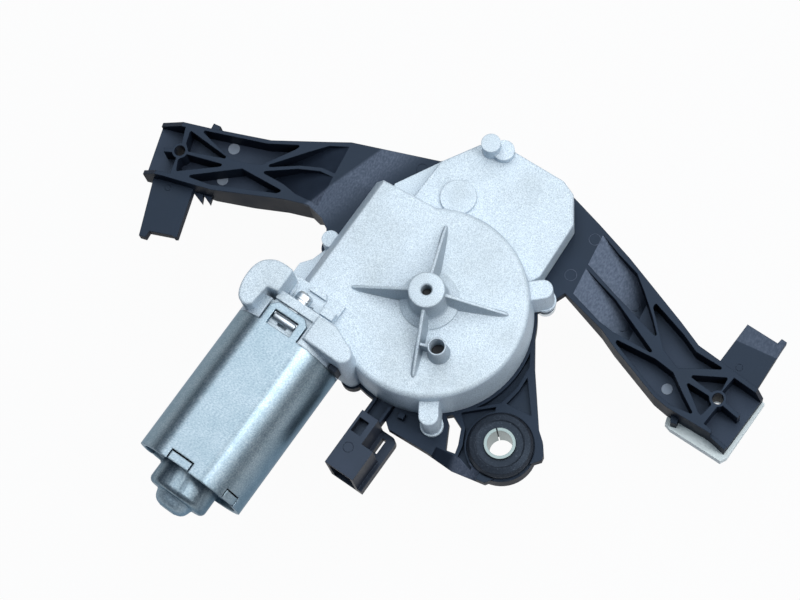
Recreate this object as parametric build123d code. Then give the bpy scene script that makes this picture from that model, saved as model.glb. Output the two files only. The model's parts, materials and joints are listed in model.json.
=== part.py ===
from build123d import *
import os
from math import acos, atan2, cos, degrees, hypot, pi, radians, sin, sqrt, tan

# Rear wiper motor: worm gear unit, swinging-sector output drive and plastic mounting bracket.
# Frame: origin on the output shaft's axis at the end face of its bearing tube, +Z away from the
# shaft's free end, +X from the left arm's bolt hole to the right arm's. All sizes in millimetres.

# ------------------------------------------------------------------ levels above the tube's end face
PLATE_BOTTOM = 21.5        # underside of the bracket's plate
COVER_SEAT = 24.0          # where the cover plate lies in the bracket
PARTING = 26.0             # joint face of the gear housing, and rim plane of the bracket
FLANGE_TOP = 32.0          # low flange of the housing
LUG_TOP = 42.0             # screw lugs beside the wheel
NECK_TOP = 50.0            # step between the roof and the motor flange
CHEEK_TOP = 60.0           # right block of the motor flange
LOBE_TOP = 62.5            # left lobe of the motor flange
LINK_TOP = 36.5            # housing roof over the link drive
WORM_Z = 38.0              # axis of armature and worm
ROOF = 47.0                # housing roof over the worm wheel
ARM_BOTTOM = 13.0          # underside of the bracket's arms
ARM_FLOOR = 17.2           # top of the arms' floor
ARM_SKIN = 2.4             # the floor's thickness where it is hollow underneath
WALL = 1.7                 # wall and rib thickness of the bracket
CAST_WALL = 3.0            # wall of the die casting
GAP = 0.3                  # clearance between pieces that move past each other
FIT = 0.05                 # radial clearance of a running fit

# ------------------------------------------------------------------ gear train
WHEEL = (-9.8, -50.9)                  # axis of the worm wheel
MOTOR_ANGLE = 81.7                     # direction of the motor's axis, seen from above
WORM_PITCH_R = 5.2
WORM_ADDENDUM = 1.1
WORM_TURNS = 6                         # an even number puts a thread in the wheel's middle gap
THREAD_WIDTH = 1.2                     # worm thread's width at the pitch radius
WHEEL_TEETH = 50
WHEEL_PITCH_R = 31.6
WHEEL_ADDENDUM = 1.0
WHEEL_DEDENDUM = 1.35
WHEEL_FACE = 9.0
TOOTH_WIDTH = 1.6                      # wheel tooth's width at the pitch radius
CENTRE_DISTANCE = WORM_PITCH_R + WHEEL_PITCH_R
PRESSURE_ANGLE = 20.0

# link drive: crank pin on the wheel, toothed rod, rocker link and pinion on the output shaft
MODULE = 0.75
SECTOR_TEETH = 34
PINION_TEETH = 24
BACKLASH = 0.16
CRANK_THROW = 8.6
ROD_LENGTH = 45.6
SECTOR_R = MODULE * SECTOR_TEETH / 2
PINION_R = MODULE * PINION_TEETH / 2
LINK_LENGTH = SECTOR_R + PINION_R
LINK_Z = (26.5, 28.7)                  # rocker link's layer
ROD_Z = (29.0, 32.0)                   # toothed rod's layer
WHEEL_BOTTOM = 32.6                    # face that carries the crank

# ------------------------------------------------------------------ output shaft
SHAFT_R = 5.0
SHAFT_TOP = 33.6
SHAFT_STUB = 22.0                      # length beyond the bearing tube
ARM_SEAT_R = 4.7                       # straight seat of the wiper arm's hub
ARM_SEAT = 5.0                         # its length
CONE_END = 11.0                        # end of the cone the hub bites on
CONE_R = 4.2
THREAD_R = 4.0
BUSH_R = 6.6
TUBE_R = 9.0

# ------------------------------------------------------------------ motor
CAN_R = 22.75
CAN_FLAT = 20.5                        # half the can's thickness across the flats
CAN_WALL = 2.0
CAN_START = 43.0                       # mouth of the can, measured from the wheel along the motor axis
CAN_END = 105.2
SPINDLE_R = 3.9

# ------------------------------------------------------------------ mounts
LEFT_BORE = (-132.9, -33.3)
RIGHT_BORE = (100.9, -33.3)
ARM_BORE_R = 2.2
GROMMET = (35.7, -85.3)
SLEEVE_BORE_R = 4.8
SLEEVE_LENGTH = 15.0


# ================================================================== helpers
def face(points):
    """Closed flat face through the given plan points."""
    return make_face(Polyline(*[(p[0], p[1]) for p in points], close=True))


def prism(sketch, z0, z1):
    """Plan face raised from z0 to z1."""
    return extrude(Pos(0, 0, z0) * sketch, amount=z1 - z0, dir=(0, 0, 1))


def rod(centre, r, z0, z1):
    return Pos(centre[0], centre[1], (z0 + z1) / 2) * Cylinder(r, z1 - z0)


def ring(centre, r_out, r_in, z0, z1):
    return rod(centre, r_out, z0, z1) - rod(centre, r_in, z0 - 1, z1 + 1)


def bar(p, q, width, z0, z1):
    """Upright rib of the given width from plan point p to q."""
    length = hypot(q[0] - p[0], q[1] - p[1])
    turn = degrees(atan2(q[1] - p[1], q[0] - p[0]))
    middle = Pos((p[0] + q[0]) / 2, (p[1] + q[1]) / 2, (z0 + z1) / 2)
    return middle * Rot(0, 0, turn) * Box(length, width, z1 - z0)


def slot_bar(p, q, r, z0, z1):
    """Bar with round ends of radius r."""
    return bar(p, q, 2 * r, z0, z1) + rod(p, r, z0, z1) + rod(q, r, z0, z1)


def softened(solid, r):
    """Same solid with its upper edges rounded."""
    return fillet(solid.edges().group_by(Axis.Z)[-1], r)


def block_at(centre, size, z0, z1):
    """Upright box with its middle over the given plan point."""
    return Pos(*centre, (z0 + z1) / 2) * Box(*size, z1 - z0)


def polar(centre, r, angle):
    return (centre[0] + r * cos(radians(angle)), centre[1] + r * sin(radians(angle)))


def turned(points):
    """Solid of revolution about Z from (radius, height) points."""
    return revolve(Plane.XZ * face(points), Axis.Z)


# The motor's own plane: x across towards the wheel, y up, z along its axis towards the can's end.
AXIS_DIR = Vector(cos(radians(MOTOR_ANGLE)), sin(radians(MOTOR_ANGLE)), 0)
ACROSS = Vector(AXIS_DIR.Y, -AXIS_DIR.X, 0)
FOOT = Vector(*WHEEL, WORM_Z) - ACROSS * CENTRE_DISTANCE
MOTOR = Plane(origin=FOOT, x_dir=ACROSS, z_dir=AXIS_DIR * -1).location


def motor_xy(s, t):
    """Plan point at s along the motor axis and t across it."""
    p = FOOT - AXIS_DIR * s + ACROSS * t
    return (p.X, p.Y)


def along(r, s0, s1, t=0.0, y=0.0):
    """Cylinder parallel to the motor axis, in the motor's plane."""
    return Pos(t, y, (s0 + s1) / 2) * Cylinder(r, s1 - s0)


def block(t0, t1, y0, y1, s0, s1):
    """Box between the given limits, in the motor's plane."""
    return Pos((t0 + t1) / 2, (y0 + y1) / 2, (s0 + s1) / 2) * Box(t1 - t0, y1 - y0, s1 - s0)


def double_d(r, flat, s0, s1):
    """Round bar with two flats, top and bottom, in the motor's plane."""
    section = Circle(r) & Rectangle(2 * r + 2, 2 * flat)
    return extrude(Pos(0, 0, s0) * section, amount=s1 - s0)


# ================================================================== gear teeth
def involute(angle):
    return tan(angle) - angle


def tooth_outline(teeth, pitch_r, addendum, dedendum, width, first=0.0, count=None, steps=3):
    """Points round `count` involute teeth; `first` is the first tooth's middle, in degrees."""
    base_r = pitch_r * cos(radians(PRESSURE_ANGLE))
    root_r = pitch_r - dedendum
    low_r = max(base_r, root_r)
    tip_r = pitch_r + addendum
    half = width / 2 / pitch_r + involute(radians(PRESSURE_ANGLE))
    radii = [low_r + (tip_r - low_r) * i / (steps - 1) for i in range(steps)]
    flank = [(r, half - involute(acos(min(1.0, base_r / r)))) for r in radii]
    if root_r < base_r - 0.05:
        flank.insert(0, (root_r, flank[0][1]))
    points = []
    for i in range(teeth if count is None else count):
        middle = radians(first + 360 * i / teeth)
        points += [(r * cos(middle - a), r * sin(middle - a)) for r, a in flank]
        points += [(r * cos(middle + a), r * sin(middle + a)) for r, a in reversed(flank)]
    return points


# ================================================================== link drive's geometry at rest
def rocker_angle(reach):
    """Angle between the line to the wheel and the rocker link when its pivot is `reach` from the wheel."""
    span = hypot(*WHEEL)
    return degrees(acos((span ** 2 + LINK_LENGTH ** 2 - reach ** 2) / (2 * span * LINK_LENGTH)))


WHEEL_DIRECTION = degrees(atan2(WHEEL[1], WHEEL[0]))
LINK_ANGLE = WHEEL_DIRECTION - rocker_angle(ROD_LENGTH - CRANK_THROW)
PIVOT = polar((0, 0), LINK_LENGTH, LINK_ANGLE)
LINK_SWING = rocker_angle(ROD_LENGTH + CRANK_THROW) - rocker_angle(ROD_LENGTH - CRANK_THROW)
ROD_ANGLE = degrees(atan2(PIVOT[1] - WHEEL[1], PIVOT[0] - WHEEL[0]))
CRANK = polar(WHEEL, CRANK_THROW, ROD_ANGLE)
PIVOT_R = 3.0
CRANK_R = 3.0


# ================================================================== gear housing
DISC_R = 37.5                          # round part of the housing over the wheel
DISC_DRAFT = 0.8                       # how much wider it is at the joint face
DISC_EDGE = 2.2                        # rounding of its upper edge
WHEEL_ROOM_R = 34.2
WORM_ROOM_R = 7.3
NECK_START = 20.0                      # where the motor flange rises from the housing
NECK_FLANGE = 34.0
HUB_TOP = 61.4
LINK_OUTLINE = [(-35.1, 4.6), (-23.4, 16.4), (-18.0, 20.2), (-10.9, 19.7), (12.6, 16.8), (18.3, 13.5),
                (23.8, 2.4), (21.4, -21.6), (10, -40), (-40, -40), (-47.1, -10.8)]
LINK_ROOF = [(-34.0, 3.8), (-23.4, 16.4), (-18.0, 20.2), (-10.9, 19.7), (12.6, 16.8), (18.3, 13.5),
             (23.8, 2.4), (21.4, -21.6), (10, -40), (-36.9, -40), (-36.9, -12.6)]
LUGS = [(8.9, -89.6), (25.6, -27.1)]   # screw lugs round the wheel
LUG_R = 3.8
TOWER = motor_xy(37.2, 24.6)           # screw tower at the motor flange's right end
SIDE_LUG = (-57.9, -42.9)
TALL_PIN = (-18.0, 16.4)
LOW_PIN = (-13.2, 17.3)
SCREW_POINTS = LUGS + [TOWER, SIDE_LUG, LOW_PIN]
SCREW_R = 2.0
SCREW_TOP = PARTING + 8
POST_WALL = 3.4                        # wall round the screws where they pass the rooms
AXLE_R = 4.0
AXLE_TOP = 56.0
GASKET_THICK = 1.2


def housing_plan():
    """Outline of the joint face."""
    side = [motor_xy(-29.5, -3), motor_xy(-29.5, -9.5), motor_xy(0, -11.8), motor_xy(8.5, -14.5),
            motor_xy(12.5, -17.7), motor_xy(NECK_START, -17.7), motor_xy(NECK_START, 10)]
    return face(LINK_OUTLINE) + face(side) + Pos(*SIDE_LUG) * Circle(3.6)


def worm_roof():
    """Roof over the worm: the outer wall leans in towards the top."""
    corner = [motor_xy(-29.2, -12.6), motor_xy(NECK_START + 16, -12.6), motor_xy(NECK_START + 16, 20),
              (10, -50),
              (-25, -16.6)]
    top = ROOF - WORM_Z
    section = [(-10.2, PARTING - WORM_Z), (-10.2, 0), (-5.6, top), (90, top), (90, PARTING - WORM_Z)]
    sloped = MOTOR * extrude(Pos(0, 0, -60) * face(section), amount=160)
    return softened(prism(face(corner), PARTING, ROOF) & sloped, 1.2)


def disc():
    """Round part over the worm wheel, slightly drafted."""
    cone = turned([(0, PARTING), (DISC_R + DISC_DRAFT, PARTING), (DISC_R, ROOF), (0, ROOF)])
    return Pos(*WHEEL) * softened(cone, DISC_EDGE)


def gear_housing():
    link_roof = softened(prism(face(LINK_ROOF), PARTING, LINK_TOP), 0.8)
    body = prism(housing_plan(), PARTING, FLANGE_TOP) + link_roof + disc() + worm_roof()
    body += hub() + lugs() + MOTOR * neck() + flange_blocks()
    body -= prism(link_plan(0), PARTING - 1, LINK_TOP - 2.5)
    body -= rod(WHEEL, WHEEL_ROOM_R, PARTING - 1, ROOF - CAST_WALL) - rod(WHEEL, 7.5, 40, ROOF)
    body -= MOTOR * neck_rooms()
    body -= sector_scallop()
    body -= prism(gasket_plan(), PARTING - 1, PARTING + GASKET_THICK)
    body -= rod(WHEEL, AXLE_R, 30, AXLE_TOP) + rod(WHEEL, 2.2, 50, HUB_TOP + 1)
    body -= MOTOR * clip_rooms()
    for point in SCREW_POINTS:
        body -= rod(point, SCREW_R, PARTING - 1, SCREW_TOP)
    return body


def hub():
    """Axle boss with its foot, four tapering ribs and the drain tube."""
    boss = turned([(0, ROOF - 1), (11.3, ROOF - 1), (11.3, ROOF + 0.8), (8.6, ROOF + 2.2), (7.3, ROOF + 5),
                   (6.95, HUB_TOP), (0, HUB_TOP)])
    shape = Pos(*WHEEL) * boss
    rib_top = HUB_TOP - 2.4
    rib_side = [(4, ROOF - 1), (30.3, ROOF - 1), (30.3, ROOF + 0.4), (6.5, rib_top), (4, rib_top)]
    rib_end = [(-1.8, ROOF - 1), (1.8, ROOF - 1), (0.75, rib_top), (-0.75, rib_top)]
    rib = extrude(Plane.XZ * face(rib_side), amount=2, both=True) & extrude(Plane.YZ * face(rib_end),
                                                                            amount=31)
    for i in range(4):
        shape += Pos(*WHEEL) * Rot(0, 0, 15 + 90 * i) * rib
    tube = (2.6, -67.6)
    web_foot = polar(WHEEL, 18.5, 285)
    shape += rod(tube, 3.85, ROOF - 1, 56.5) + bar(tube, web_foot, 1.2, ROOF - 1, 53)
    return shape - rod(tube, 2.85, ROOF + 0.5, 60)


def lugs():
    """Screw lugs beside the wheel, the side lug, and the two pins at the far corner."""
    shape = rod(SIDE_LUG, 3.4, PARTING, 37.5) + rod(TALL_PIN, 3.8, PARTING, 44.2)
    shape += rod(LOW_PIN, 4.2, PARTING, 39.5) + rod((-20.9, -6.7), 7.1, PARTING, LINK_TOP + 1.2)
    for lug in LUGS:
        inward = degrees(atan2(WHEEL[1] - lug[1], WHEEL[0] - lug[0]))
        foot = polar(lug, 2 * LUG_R, inward)
        shape += softened(slot_bar(lug, foot, LUG_R, PARTING, LUG_TOP), 0.5)
        shape += rod(lug, LUG_R + 0.7, PARTING, PARTING + 1.5)
    return shape


def neck():
    """Motor flange, in the motor's plane."""
    low, step = level(PARTING), level(NECK_TOP)
    flange = double_d(CAN_R, CAN_FLAT, NECK_FLANGE, CAN_START)
    throat = block(-17.7, CAN_R, low, step - 1, NECK_START, NECK_FLANGE + 1)
    shelf = block(-9.2, 16.0, low, CAN_FLAT - 0.6, 29.5, NECK_FLANGE + 1)
    blocks = block(2.6, 12.0, low, step + 2, 24.7, 28.0) + block(-9.0, -7.0, low, step + 2, 24.3, 28.6)
    blocks += block(-10.0, -5.0, low, step + 5, 29.0, 31.5)
    return flange + throat + shelf + blocks + Rot(-90, 0, 0) * roof_boss()


def roof_boss():
    """Flat boss that meets the clamp screw's pocket, standing on the motor's plane."""
    return Pos(1.4, -23.5, (level(ROOF) + level(NECK_TOP)) / 2) * Cylinder(4.0, NECK_TOP - ROOF + 2)


def flange_blocks():
    """Rounded lobe and block that stand on the two sides of the motor flange."""
    lobe = [motor_xy(s, t) for s,
            t in ((21.6, -8.5), (21.4, -12.6), (21.9, -17.2), (26.0, -22.1), (34.0, -22.8),
                                        (41.0, -20.7), (43.0, -16.3), (40.7, -13.9), (32.4, -13.1),
                                        (31.6, -8.5))]
    cheek = [motor_xy(s, t) for s, t in ((30.3, 9.0), (29.9, 17.2), (34.0, 26.6), (41.0, 24.6), (40.7, 9.0))]
    left = prism(fillet(face(lobe).vertices(), 1.0), PARTING, LOBE_TOP)
    right = prism(face(cheek) + Pos(*TOWER) * Circle(LUG_R), PARTING, CHEEK_TOP)
    return softened(left, 1.0) + softened(right, 1.0)


def neck_rooms():
    """What the motor flange leaves free, in the motor's plane."""
    mouth = double_d(MOUTH_R, MOUTH_FLAT, 36.0, CAN_START + 1)
    tongue = block(-9.9, 8.2, CAN_FLAT - 2.3, CAN_FLAT + 10, 33.1, CAN_START + 1)
    under = Rot(0, 0, 180) * tongue
    worm = along(WORM_ROOM_R, -27, 22)
    bearing = along(8.0, 22, 37)
    return mouth + tongue + under + worm + bearing + seal_shape()


def link_plan(margin):
    """Plan of the room over the link drive, widened by margin."""
    plan = offset(face(LINK_ROOF), amount=margin - CAST_WALL, kind=Kind.INTERSECTION)
    return plan - Pos(*LOW_PIN) * Circle(SCREW_R + POST_WALL - margin)


def room_plan(margin):
    """Plan of both rooms at the joint face, widened by margin."""
    return link_plan(margin) + Pos(*WHEEL) * Circle(WHEEL_ROOM_R + margin)


def sector_scallop():
    """Hollow in the low pin's post, where the toothed rod passes at the end of its swing."""
    pivot = polar((0, 0), LINK_LENGTH, LINK_ANGLE - LINK_SWING)
    layer = (ROD_Z[0] - 2 * GAP, ROD_Z[1] + 2 * GAP)
    reach = SECTOR_R + MODULE + 2 * GAP
    return rod(pivot, reach, *layer) & rod(LOW_PIN, SCREW_R + POST_WALL + GAP, *layer)


def gasket_plan():
    return room_plan(1.6) - room_plan(0.4)


def housing_gasket():
    return prism(gasket_plan(), PARTING, PARTING + GASKET_THICK)


# ================================================================== clamp of the can: clip, screw, washer
CLIP_T = -1.0                          # middle of clip and screw across the motor
CLIP_Y = 16.2                          # their height above the motor's axis
CLIP_SCREW_R = 1.9


def clip_rooms():
    """T slot for the clip and pocket for the screw's head, above and below the motor's axis."""
    slot = block(CLIP_T - 5.6, CLIP_T + 5.6, 14.8, 19.4, 36.4, 39.3)
    slot += block(CLIP_T - 2.1, CLIP_T + 2.1, 14.8, 19.4, 39.0, 41.4)
    slot += block(CLIP_T - 2.1, CLIP_T + 2.1, 14.2, 18.9, 31.0, 37.0)
    slot += along(CLIP_SCREW_R + 0.2, 28, 32, CLIP_T, CLIP_Y)
    pocket = block(-8.2, 6.5, 11.5, 26, 22.5, 29.4)
    return slot + pocket + Rot(0, 0, 180) * slot + Rot(0, 0, 180) * pocket


def both_sides(piece):
    """The same piece above and below the motor's axis."""
    return [MOTOR * piece, MOTOR * Rot(0, 0, 180) * piece]


def can_clips():
    """T-shaped anchor in the can's window, drawn inward by its screw."""
    cross = block(CLIP_T - 5.2, CLIP_T + 5.2, 15.2, 19.6, 36.9, 38.8)
    cross = fillet(cross.edges().filter_by(Axis.X).group_by(Axis.Y)[-1], 0.8)
    clip = cross + block(CLIP_T - 1.9, CLIP_T + 1.9, 14.3, 18.3, 31.2, 37.0)
    return both_sides(clip - along(CLIP_SCREW_R, 30, 36, CLIP_T, CLIP_Y))


def clamp_screws():
    head = along(3.3, 25.2, 27.6, CLIP_T, CLIP_Y)
    head = chamfer(head.edges().group_by(Axis.Z)[0], 0.8)
    cross = block(CLIP_T - 1.9, CLIP_T + 1.9, CLIP_Y - 0.45, CLIP_Y + 0.45, 25, 26.3)
    cross += block(CLIP_T - 0.45, CLIP_T + 0.45, CLIP_Y - 1.9, CLIP_Y + 1.9, 25, 26.3)
    return both_sides(head + along(CLIP_SCREW_R, 27.5, 35.9, CLIP_T, CLIP_Y) - cross)


def lock_washers():
    washer = along(3.5, 27.6, 28.4, CLIP_T, CLIP_Y) + along(3.1, 28.4, 29.4, CLIP_T, CLIP_Y)
    return both_sides(washer - along(CLIP_SCREW_R, 27, 30, CLIP_T, CLIP_Y))


# ================================================================== cover plate, contacts and connector
TONGUE_T = (37.6, 44.2)                # the tongue's sides across the motor frame
CONNECTOR_T = (37.2, 50.1)
CONNECTOR_Z = (13.0, 34.0)
CONNECTOR_S = (46.5, 57.5, 70.7)       # inner end, shoulder and mouth
SOCKET_WALL = 1.4
BLADE_S = (58.0, 67.0)
BLADES = [(40.6, 19.0), (46.4, 19.0), (40.6, 27.5), (46.4, 27.5)]
TRACKS_T = (39.2, 40.9, 42.6)
TRACK_Z = (24.7, 25.2)                 # layer of the conductors, inside the cover plate


def level(z):
    """Height above the motor's axis of a level z."""
    return z - WORM_Z


def cover_plate():
    plan = room_plan(2.2)
    strip = block(*TONGUE_T, level(COVER_SEAT), level(PARTING), 25, CONNECTOR_S[0] + 3)
    for t in TONGUE_T:
        strip += block(t - 0.6, t + 0.6, level(COVER_SEAT), level(29.5), 39.0, CONNECTOR_S[0])
    plate = prism(plan, COVER_SEAT, PARTING) + MOTOR * strip
    plate -= rod((0, 0), TUBE_R + 0.2, COVER_SEAT - 1, PARTING + 1)
    for point in TUBE_SCREWS:
        plate -= rod(point, TUBE_SCREW_R, COVER_SEAT - 1, PARTING + 1)
    for t in TRACKS_T:
        plate -= MOTOR * block(t - 0.6, t + 0.6, level(TRACK_Z[1]), level(PARTING) + 1, 13.4, 19.2)
    return plate - lead_frame()


def lead_frame():
    """Three flat conductors moulded into the cover plate."""
    tracks = [MOTOR * block(t - 0.5, t + 0.5, level(TRACK_Z[0]), level(TRACK_Z[1]), 15, CONNECTOR_S[0] + 2)
              for t in TRACKS_T]
    return tracks[0] + tracks[1] + tracks[2]


def park_contacts():
    """Spring fingers that ride on the wheel's contact ring."""
    low, high = TRACK_Z[1], WHEEL_BOTTOM - GAP
    side = [(0, low), (4, low), (11, high - 1.4), (12.4, high - 0.5), (13.6, high - 1.2), (14, high - 0.8),
            (12.4, high), (10.6, high - 1.0), (3.8, low + 0.5), (0, low + 0.5)]
    fingers = []
    for t in TRACKS_T:
        finger = extrude(Plane.YZ * face(side), amount=0.5, both=True)
        fingers.append(Pos(*motor_xy(19, t), 0) * Rot(0, 0, MOTOR_ANGLE - 90) * finger)
    return fingers[0] + fingers[1] + fingers[2]


def connector_shell():
    t0, t1 = CONNECTOR_T
    low, high = level(CONNECTOR_Z[0]), level(CONNECTOR_Z[1])
    inner, shoulder, mouth = CONNECTOR_S
    back = shoulder + SOCKET_WALL
    rail = block(t0, t1 + 1.6, low, low + 5, inner, mouth)
    rail = fillet(rail.edges().filter_by(Axis.Y).group_by(Axis.Z)[0], 2.5)
    shell = block(t0, t1, low, high, shoulder, mouth) + block(t0, t0 + 7.5, low, high, inner,
                                                              shoulder) + rail
    shell -= block(t0 + SOCKET_WALL, t1 - SOCKET_WALL, low + SOCKET_WALL, high - SOCKET_WALL, back,
                   mouth + 1)
    shell -= block(t0 + 0.9, t0 + 5.2, high - 5, high + 1, 49.3, 55.3)
    shell -= block(t1 - 3.9, t1 - 2.1, low - 1, low + 6, 49, 55.3)
    shell -= block(*TONGUE_T, level(COVER_SEAT), level(PARTING), inner - 1, inner + 3)
    for t, z in BLADES:
        shell -= block(t - 1.4, t + 1.4, level(z) - 0.4, level(z) + 0.4, BLADE_S[0], back + 1)
    return MOTOR * shell


def connector_terminals():
    blades = [block(t - 1.4, t + 1.4, level(z) - 0.4, level(z) + 0.4, *BLADE_S) for t, z in BLADES]
    return MOTOR * (blades[0] + blades[1] + blades[2] + blades[3])


# ================================================================== worm wheel and link drive
def worm_wheel():
    teeth = tooth_outline(WHEEL_TEETH, WHEEL_PITCH_R, WHEEL_ADDENDUM, WHEEL_DEDENDUM, TOOTH_WIDTH,
                          first=WHEEL_PHASE)
    low, high = WORM_Z - WHEEL_FACE / 2, WORM_Z + WHEEL_FACE / 2
    wheel = prism(face(teeth), low, high) - rod((0, 0), 27, low - 1, high + 1)
    wheel += rod((0, 0), 27.5, WHEEL_BOTTOM, WHEEL_BOTTOM + 3)
    wheel += rod((0, 0), 8.0, WHEEL_BOTTOM, 39.6)
    for i in range(8):
        wheel += Rot(0, 0, 45 * i) * bar((7.9, 0), (27.5, 0), 1.6, WHEEL_BOTTOM + 2, high - 1.5)
    wheel -= rod((0, 0), AXLE_R + FIT, 30, 50) + rod((0, 0), 6.6, 30, WHEEL_BOTTOM + 1.4)
    return Pos(*WHEEL) * wheel - contact_ring()


def contact_ring():
    """Brass track under the wheel, with the gap that parks the wiper."""
    track = ring((0, 0), 26.5, 20.5, WHEEL_BOTTOM, WHEEL_BOTTOM + 0.5)
    return Pos(*WHEEL) * (track - bar((18, 0), (24.0, 0), 6, 30, 35))


def wheel_axle():
    return rod(WHEEL, AXLE_R, WHEEL_BOTTOM + 0.1, AXLE_TOP)


def axle_retainer():
    return ring(WHEEL, 6.2, AXLE_R, WHEEL_BOTTOM + GAP, WHEEL_BOTTOM + 1.1)


def sector_rod():
    """Rod with a toothed sector: pivots on the rocker link and is driven by the crank pin."""
    z0, z1 = ROD_Z
    to_shaft = LINK_ANGLE + 180
    pitch = 360 / SECTOR_TEETH
    width = MODULE * pi / 2 - BACKLASH
    teeth = tooth_outline(SECTOR_TEETH, SECTOR_R, MODULE, 1.25 * MODULE, width, to_shaft - 6 * pitch, 9)
    sector = face(teeth + [(0, 0)])
    hub = Circle(6.2)
    body = Pos(*PIVOT) * prism(sector + hub, z0, z1)
    eye, mid = CRANK, PIVOT
    side = degrees(atan2(mid[1] - eye[1], mid[0] - eye[0])) + 90
    arm = [polar(eye, 4.0, side), polar(eye, -4.0, side), polar(mid, -6.0, side), polar(mid, 6.0, side)]
    body += prism(face(arm), z0, z1) + rod(eye, 5.4, z0, z1)
    return body - rod(mid, PIVOT_R + FIT, z0 - 1, z1 + 1) - rod(eye, CRANK_R, z0 - 1, z1 + 1)


def crank_pin():
    return rod(CRANK, CRANK_R, ROD_Z[0], WHEEL_BOTTOM - GAP) + rod(CRANK, 4.2, ROD_Z[0] - 1, ROD_Z[0])


def link_plate():
    plate = slot_bar((0, 0), PIVOT, 6.0, *LINK_Z) + rod((0, 0), 8.0, *LINK_Z)
    return plate - rod((0, 0), SHAFT_R + FIT, 20, 30) - rod(PIVOT, PIVOT_R, 20, 30)


def pivot_pin():
    return rod(PIVOT, PIVOT_R, LINK_Z[0], ROD_Z[1] + 1.4)


def pivot_clip():
    return ring(PIVOT, 4.6, PIVOT_R, ROD_Z[1] + GAP, ROD_Z[1] + 1.0)


# ================================================================== output shaft and its bearings
TUBE_SCREWS = [polar((0, 0), 15.5, a) for a in (90, 210, 330)]
TUBE_SCREW_R = 1.6
SEAL_ROOM_R = 7.6
SEAL_ROOM = 5.0
BUSHES = ((5.0, 13.0), (17.5, 25.8))
CIRCLIP_Z = (3.9, 4.7)


def output_pinion():
    width = MODULE * pi / 2 - BACKLASH
    teeth = tooth_outline(PINION_TEETH, PINION_R, MODULE, 1.25 * MODULE, width,
                          LINK_ANGLE + 180 / PINION_TEETH)
    return prism(face(teeth), ROD_Z[0], ROD_Z[1] + 0.4) - rod((0, 0), SHAFT_R, 20, 40)


def output_shaft():
    end = -SHAFT_STUB
    groove = SHAFT_R - 0.5
    return turned([(0, SHAFT_TOP), (SHAFT_R - 0.5, SHAFT_TOP), (SHAFT_R, SHAFT_TOP - 0.5),
                   (SHAFT_R, CIRCLIP_Z[1]), (groove, CIRCLIP_Z[1]), (groove, CIRCLIP_Z[0]),
                   (SHAFT_R, CIRCLIP_Z[0]), (SHAFT_R, 0), (ARM_SEAT_R, 0), (ARM_SEAT_R, -ARM_SEAT),
                   (CONE_R, -CONE_END), (THREAD_R - 0.5, -CONE_END - 0.4), (THREAD_R - 0.5, -CONE_END - 1.4),
                   (THREAD_R, -CONE_END - 1.9), (THREAD_R, end + 0.8), (THREAD_R - 0.8, end), (0, end)])


def bearing_tube():
    """Cast tube that carries the output shaft under the gearbox."""
    flange_bottom = PLATE_BOTTOM - 3.0
    tube = rod((0, 0), TUBE_R, 0, BUSHES[1][1])
    for point in TUBE_SCREWS:
        tube += slot_bar((0, 0), point, 5.0, flange_bottom, PLATE_BOTTOM)
    tube += rod((0, 0), 13.5, flange_bottom, PLATE_BOTTOM)
    gusset = extrude(Plane.XZ * face([(8, flange_bottom), (13, flange_bottom), (8, 6)]), amount=0.9,
                     both=True)
    for i in range(6):
        tube += Rot(0, 0, 60 * i) * gusset
    tube = tube - rod((0, 0), BUSH_R, SEAL_ROOM, 30) - rod((0, 0), SEAL_ROOM_R, -1, SEAL_ROOM)
    for point in TUBE_SCREWS:
        tube -= rod(point, TUBE_SCREW_R, 10, 30)
    return tube


def shaft_bushes():
    return [ring((0, 0), BUSH_R, SHAFT_R + FIT, z0, z1) for z0, z1 in BUSHES]


def shaft_circlip():
    clip = ring((0, 0), 6.4, SHAFT_R - 0.5, *CIRCLIP_Z)
    return clip - bar((0, 0), (8, 0), 3.0, 0, 6)


def shaft_seal():
    return turned([(SHAFT_R + GAP, 0.4), (SEAL_ROOM_R, 0.4), (SEAL_ROOM_R, 3.4), (6.6, 3.4), (6.6, 1.4),
                   (5.9, 1.4), (5.6, 3.0), (SHAFT_R + GAP, 3.0)])


def tube_screws():
    screws = []
    for point in TUBE_SCREWS:
        screws.append(rod(point, TUBE_SCREW_R, 16, 25.6) + rod(point, 3.1, 16.1, PLATE_BOTTOM - 3.0))
    return screws


def housing_screws():
    screws = []
    for point in SCREW_POINTS:
        head = rod(point, 3.9, PLATE_BOTTOM - 2.8, PLATE_BOTTOM)
        screws.append(head + rod(point, SCREW_R, PLATE_BOTTOM - 1, SCREW_TOP - 0.5))
    return screws


# ================================================================== armature
STACK = (60.0, 86.0)
STACK_R = CAN_R - CAN_WALL - 4.95         # leaves the magnets and the air gap
SLOTS = 10
SLOT_AT = 0.72 * STACK_R                  # middle of the slots' round wire room
COIL_R = STACK_R - 2.2                   # winding heads
COMMUTATOR = (45.5, 55.0)
COMMUTATOR_R = 9.5
BRUSH_LENGTH = 5.2
THRUST_S = -27.0
SPINDLE_START = THRUST_S + 1.0 + GAP
SPINDLE_END = 115.6


def armature_shaft():
    spindle = along(SPINDLE_R, SPINDLE_START, SPINDLE_END)
    return MOTOR * (spindle + worm_thread())


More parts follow.
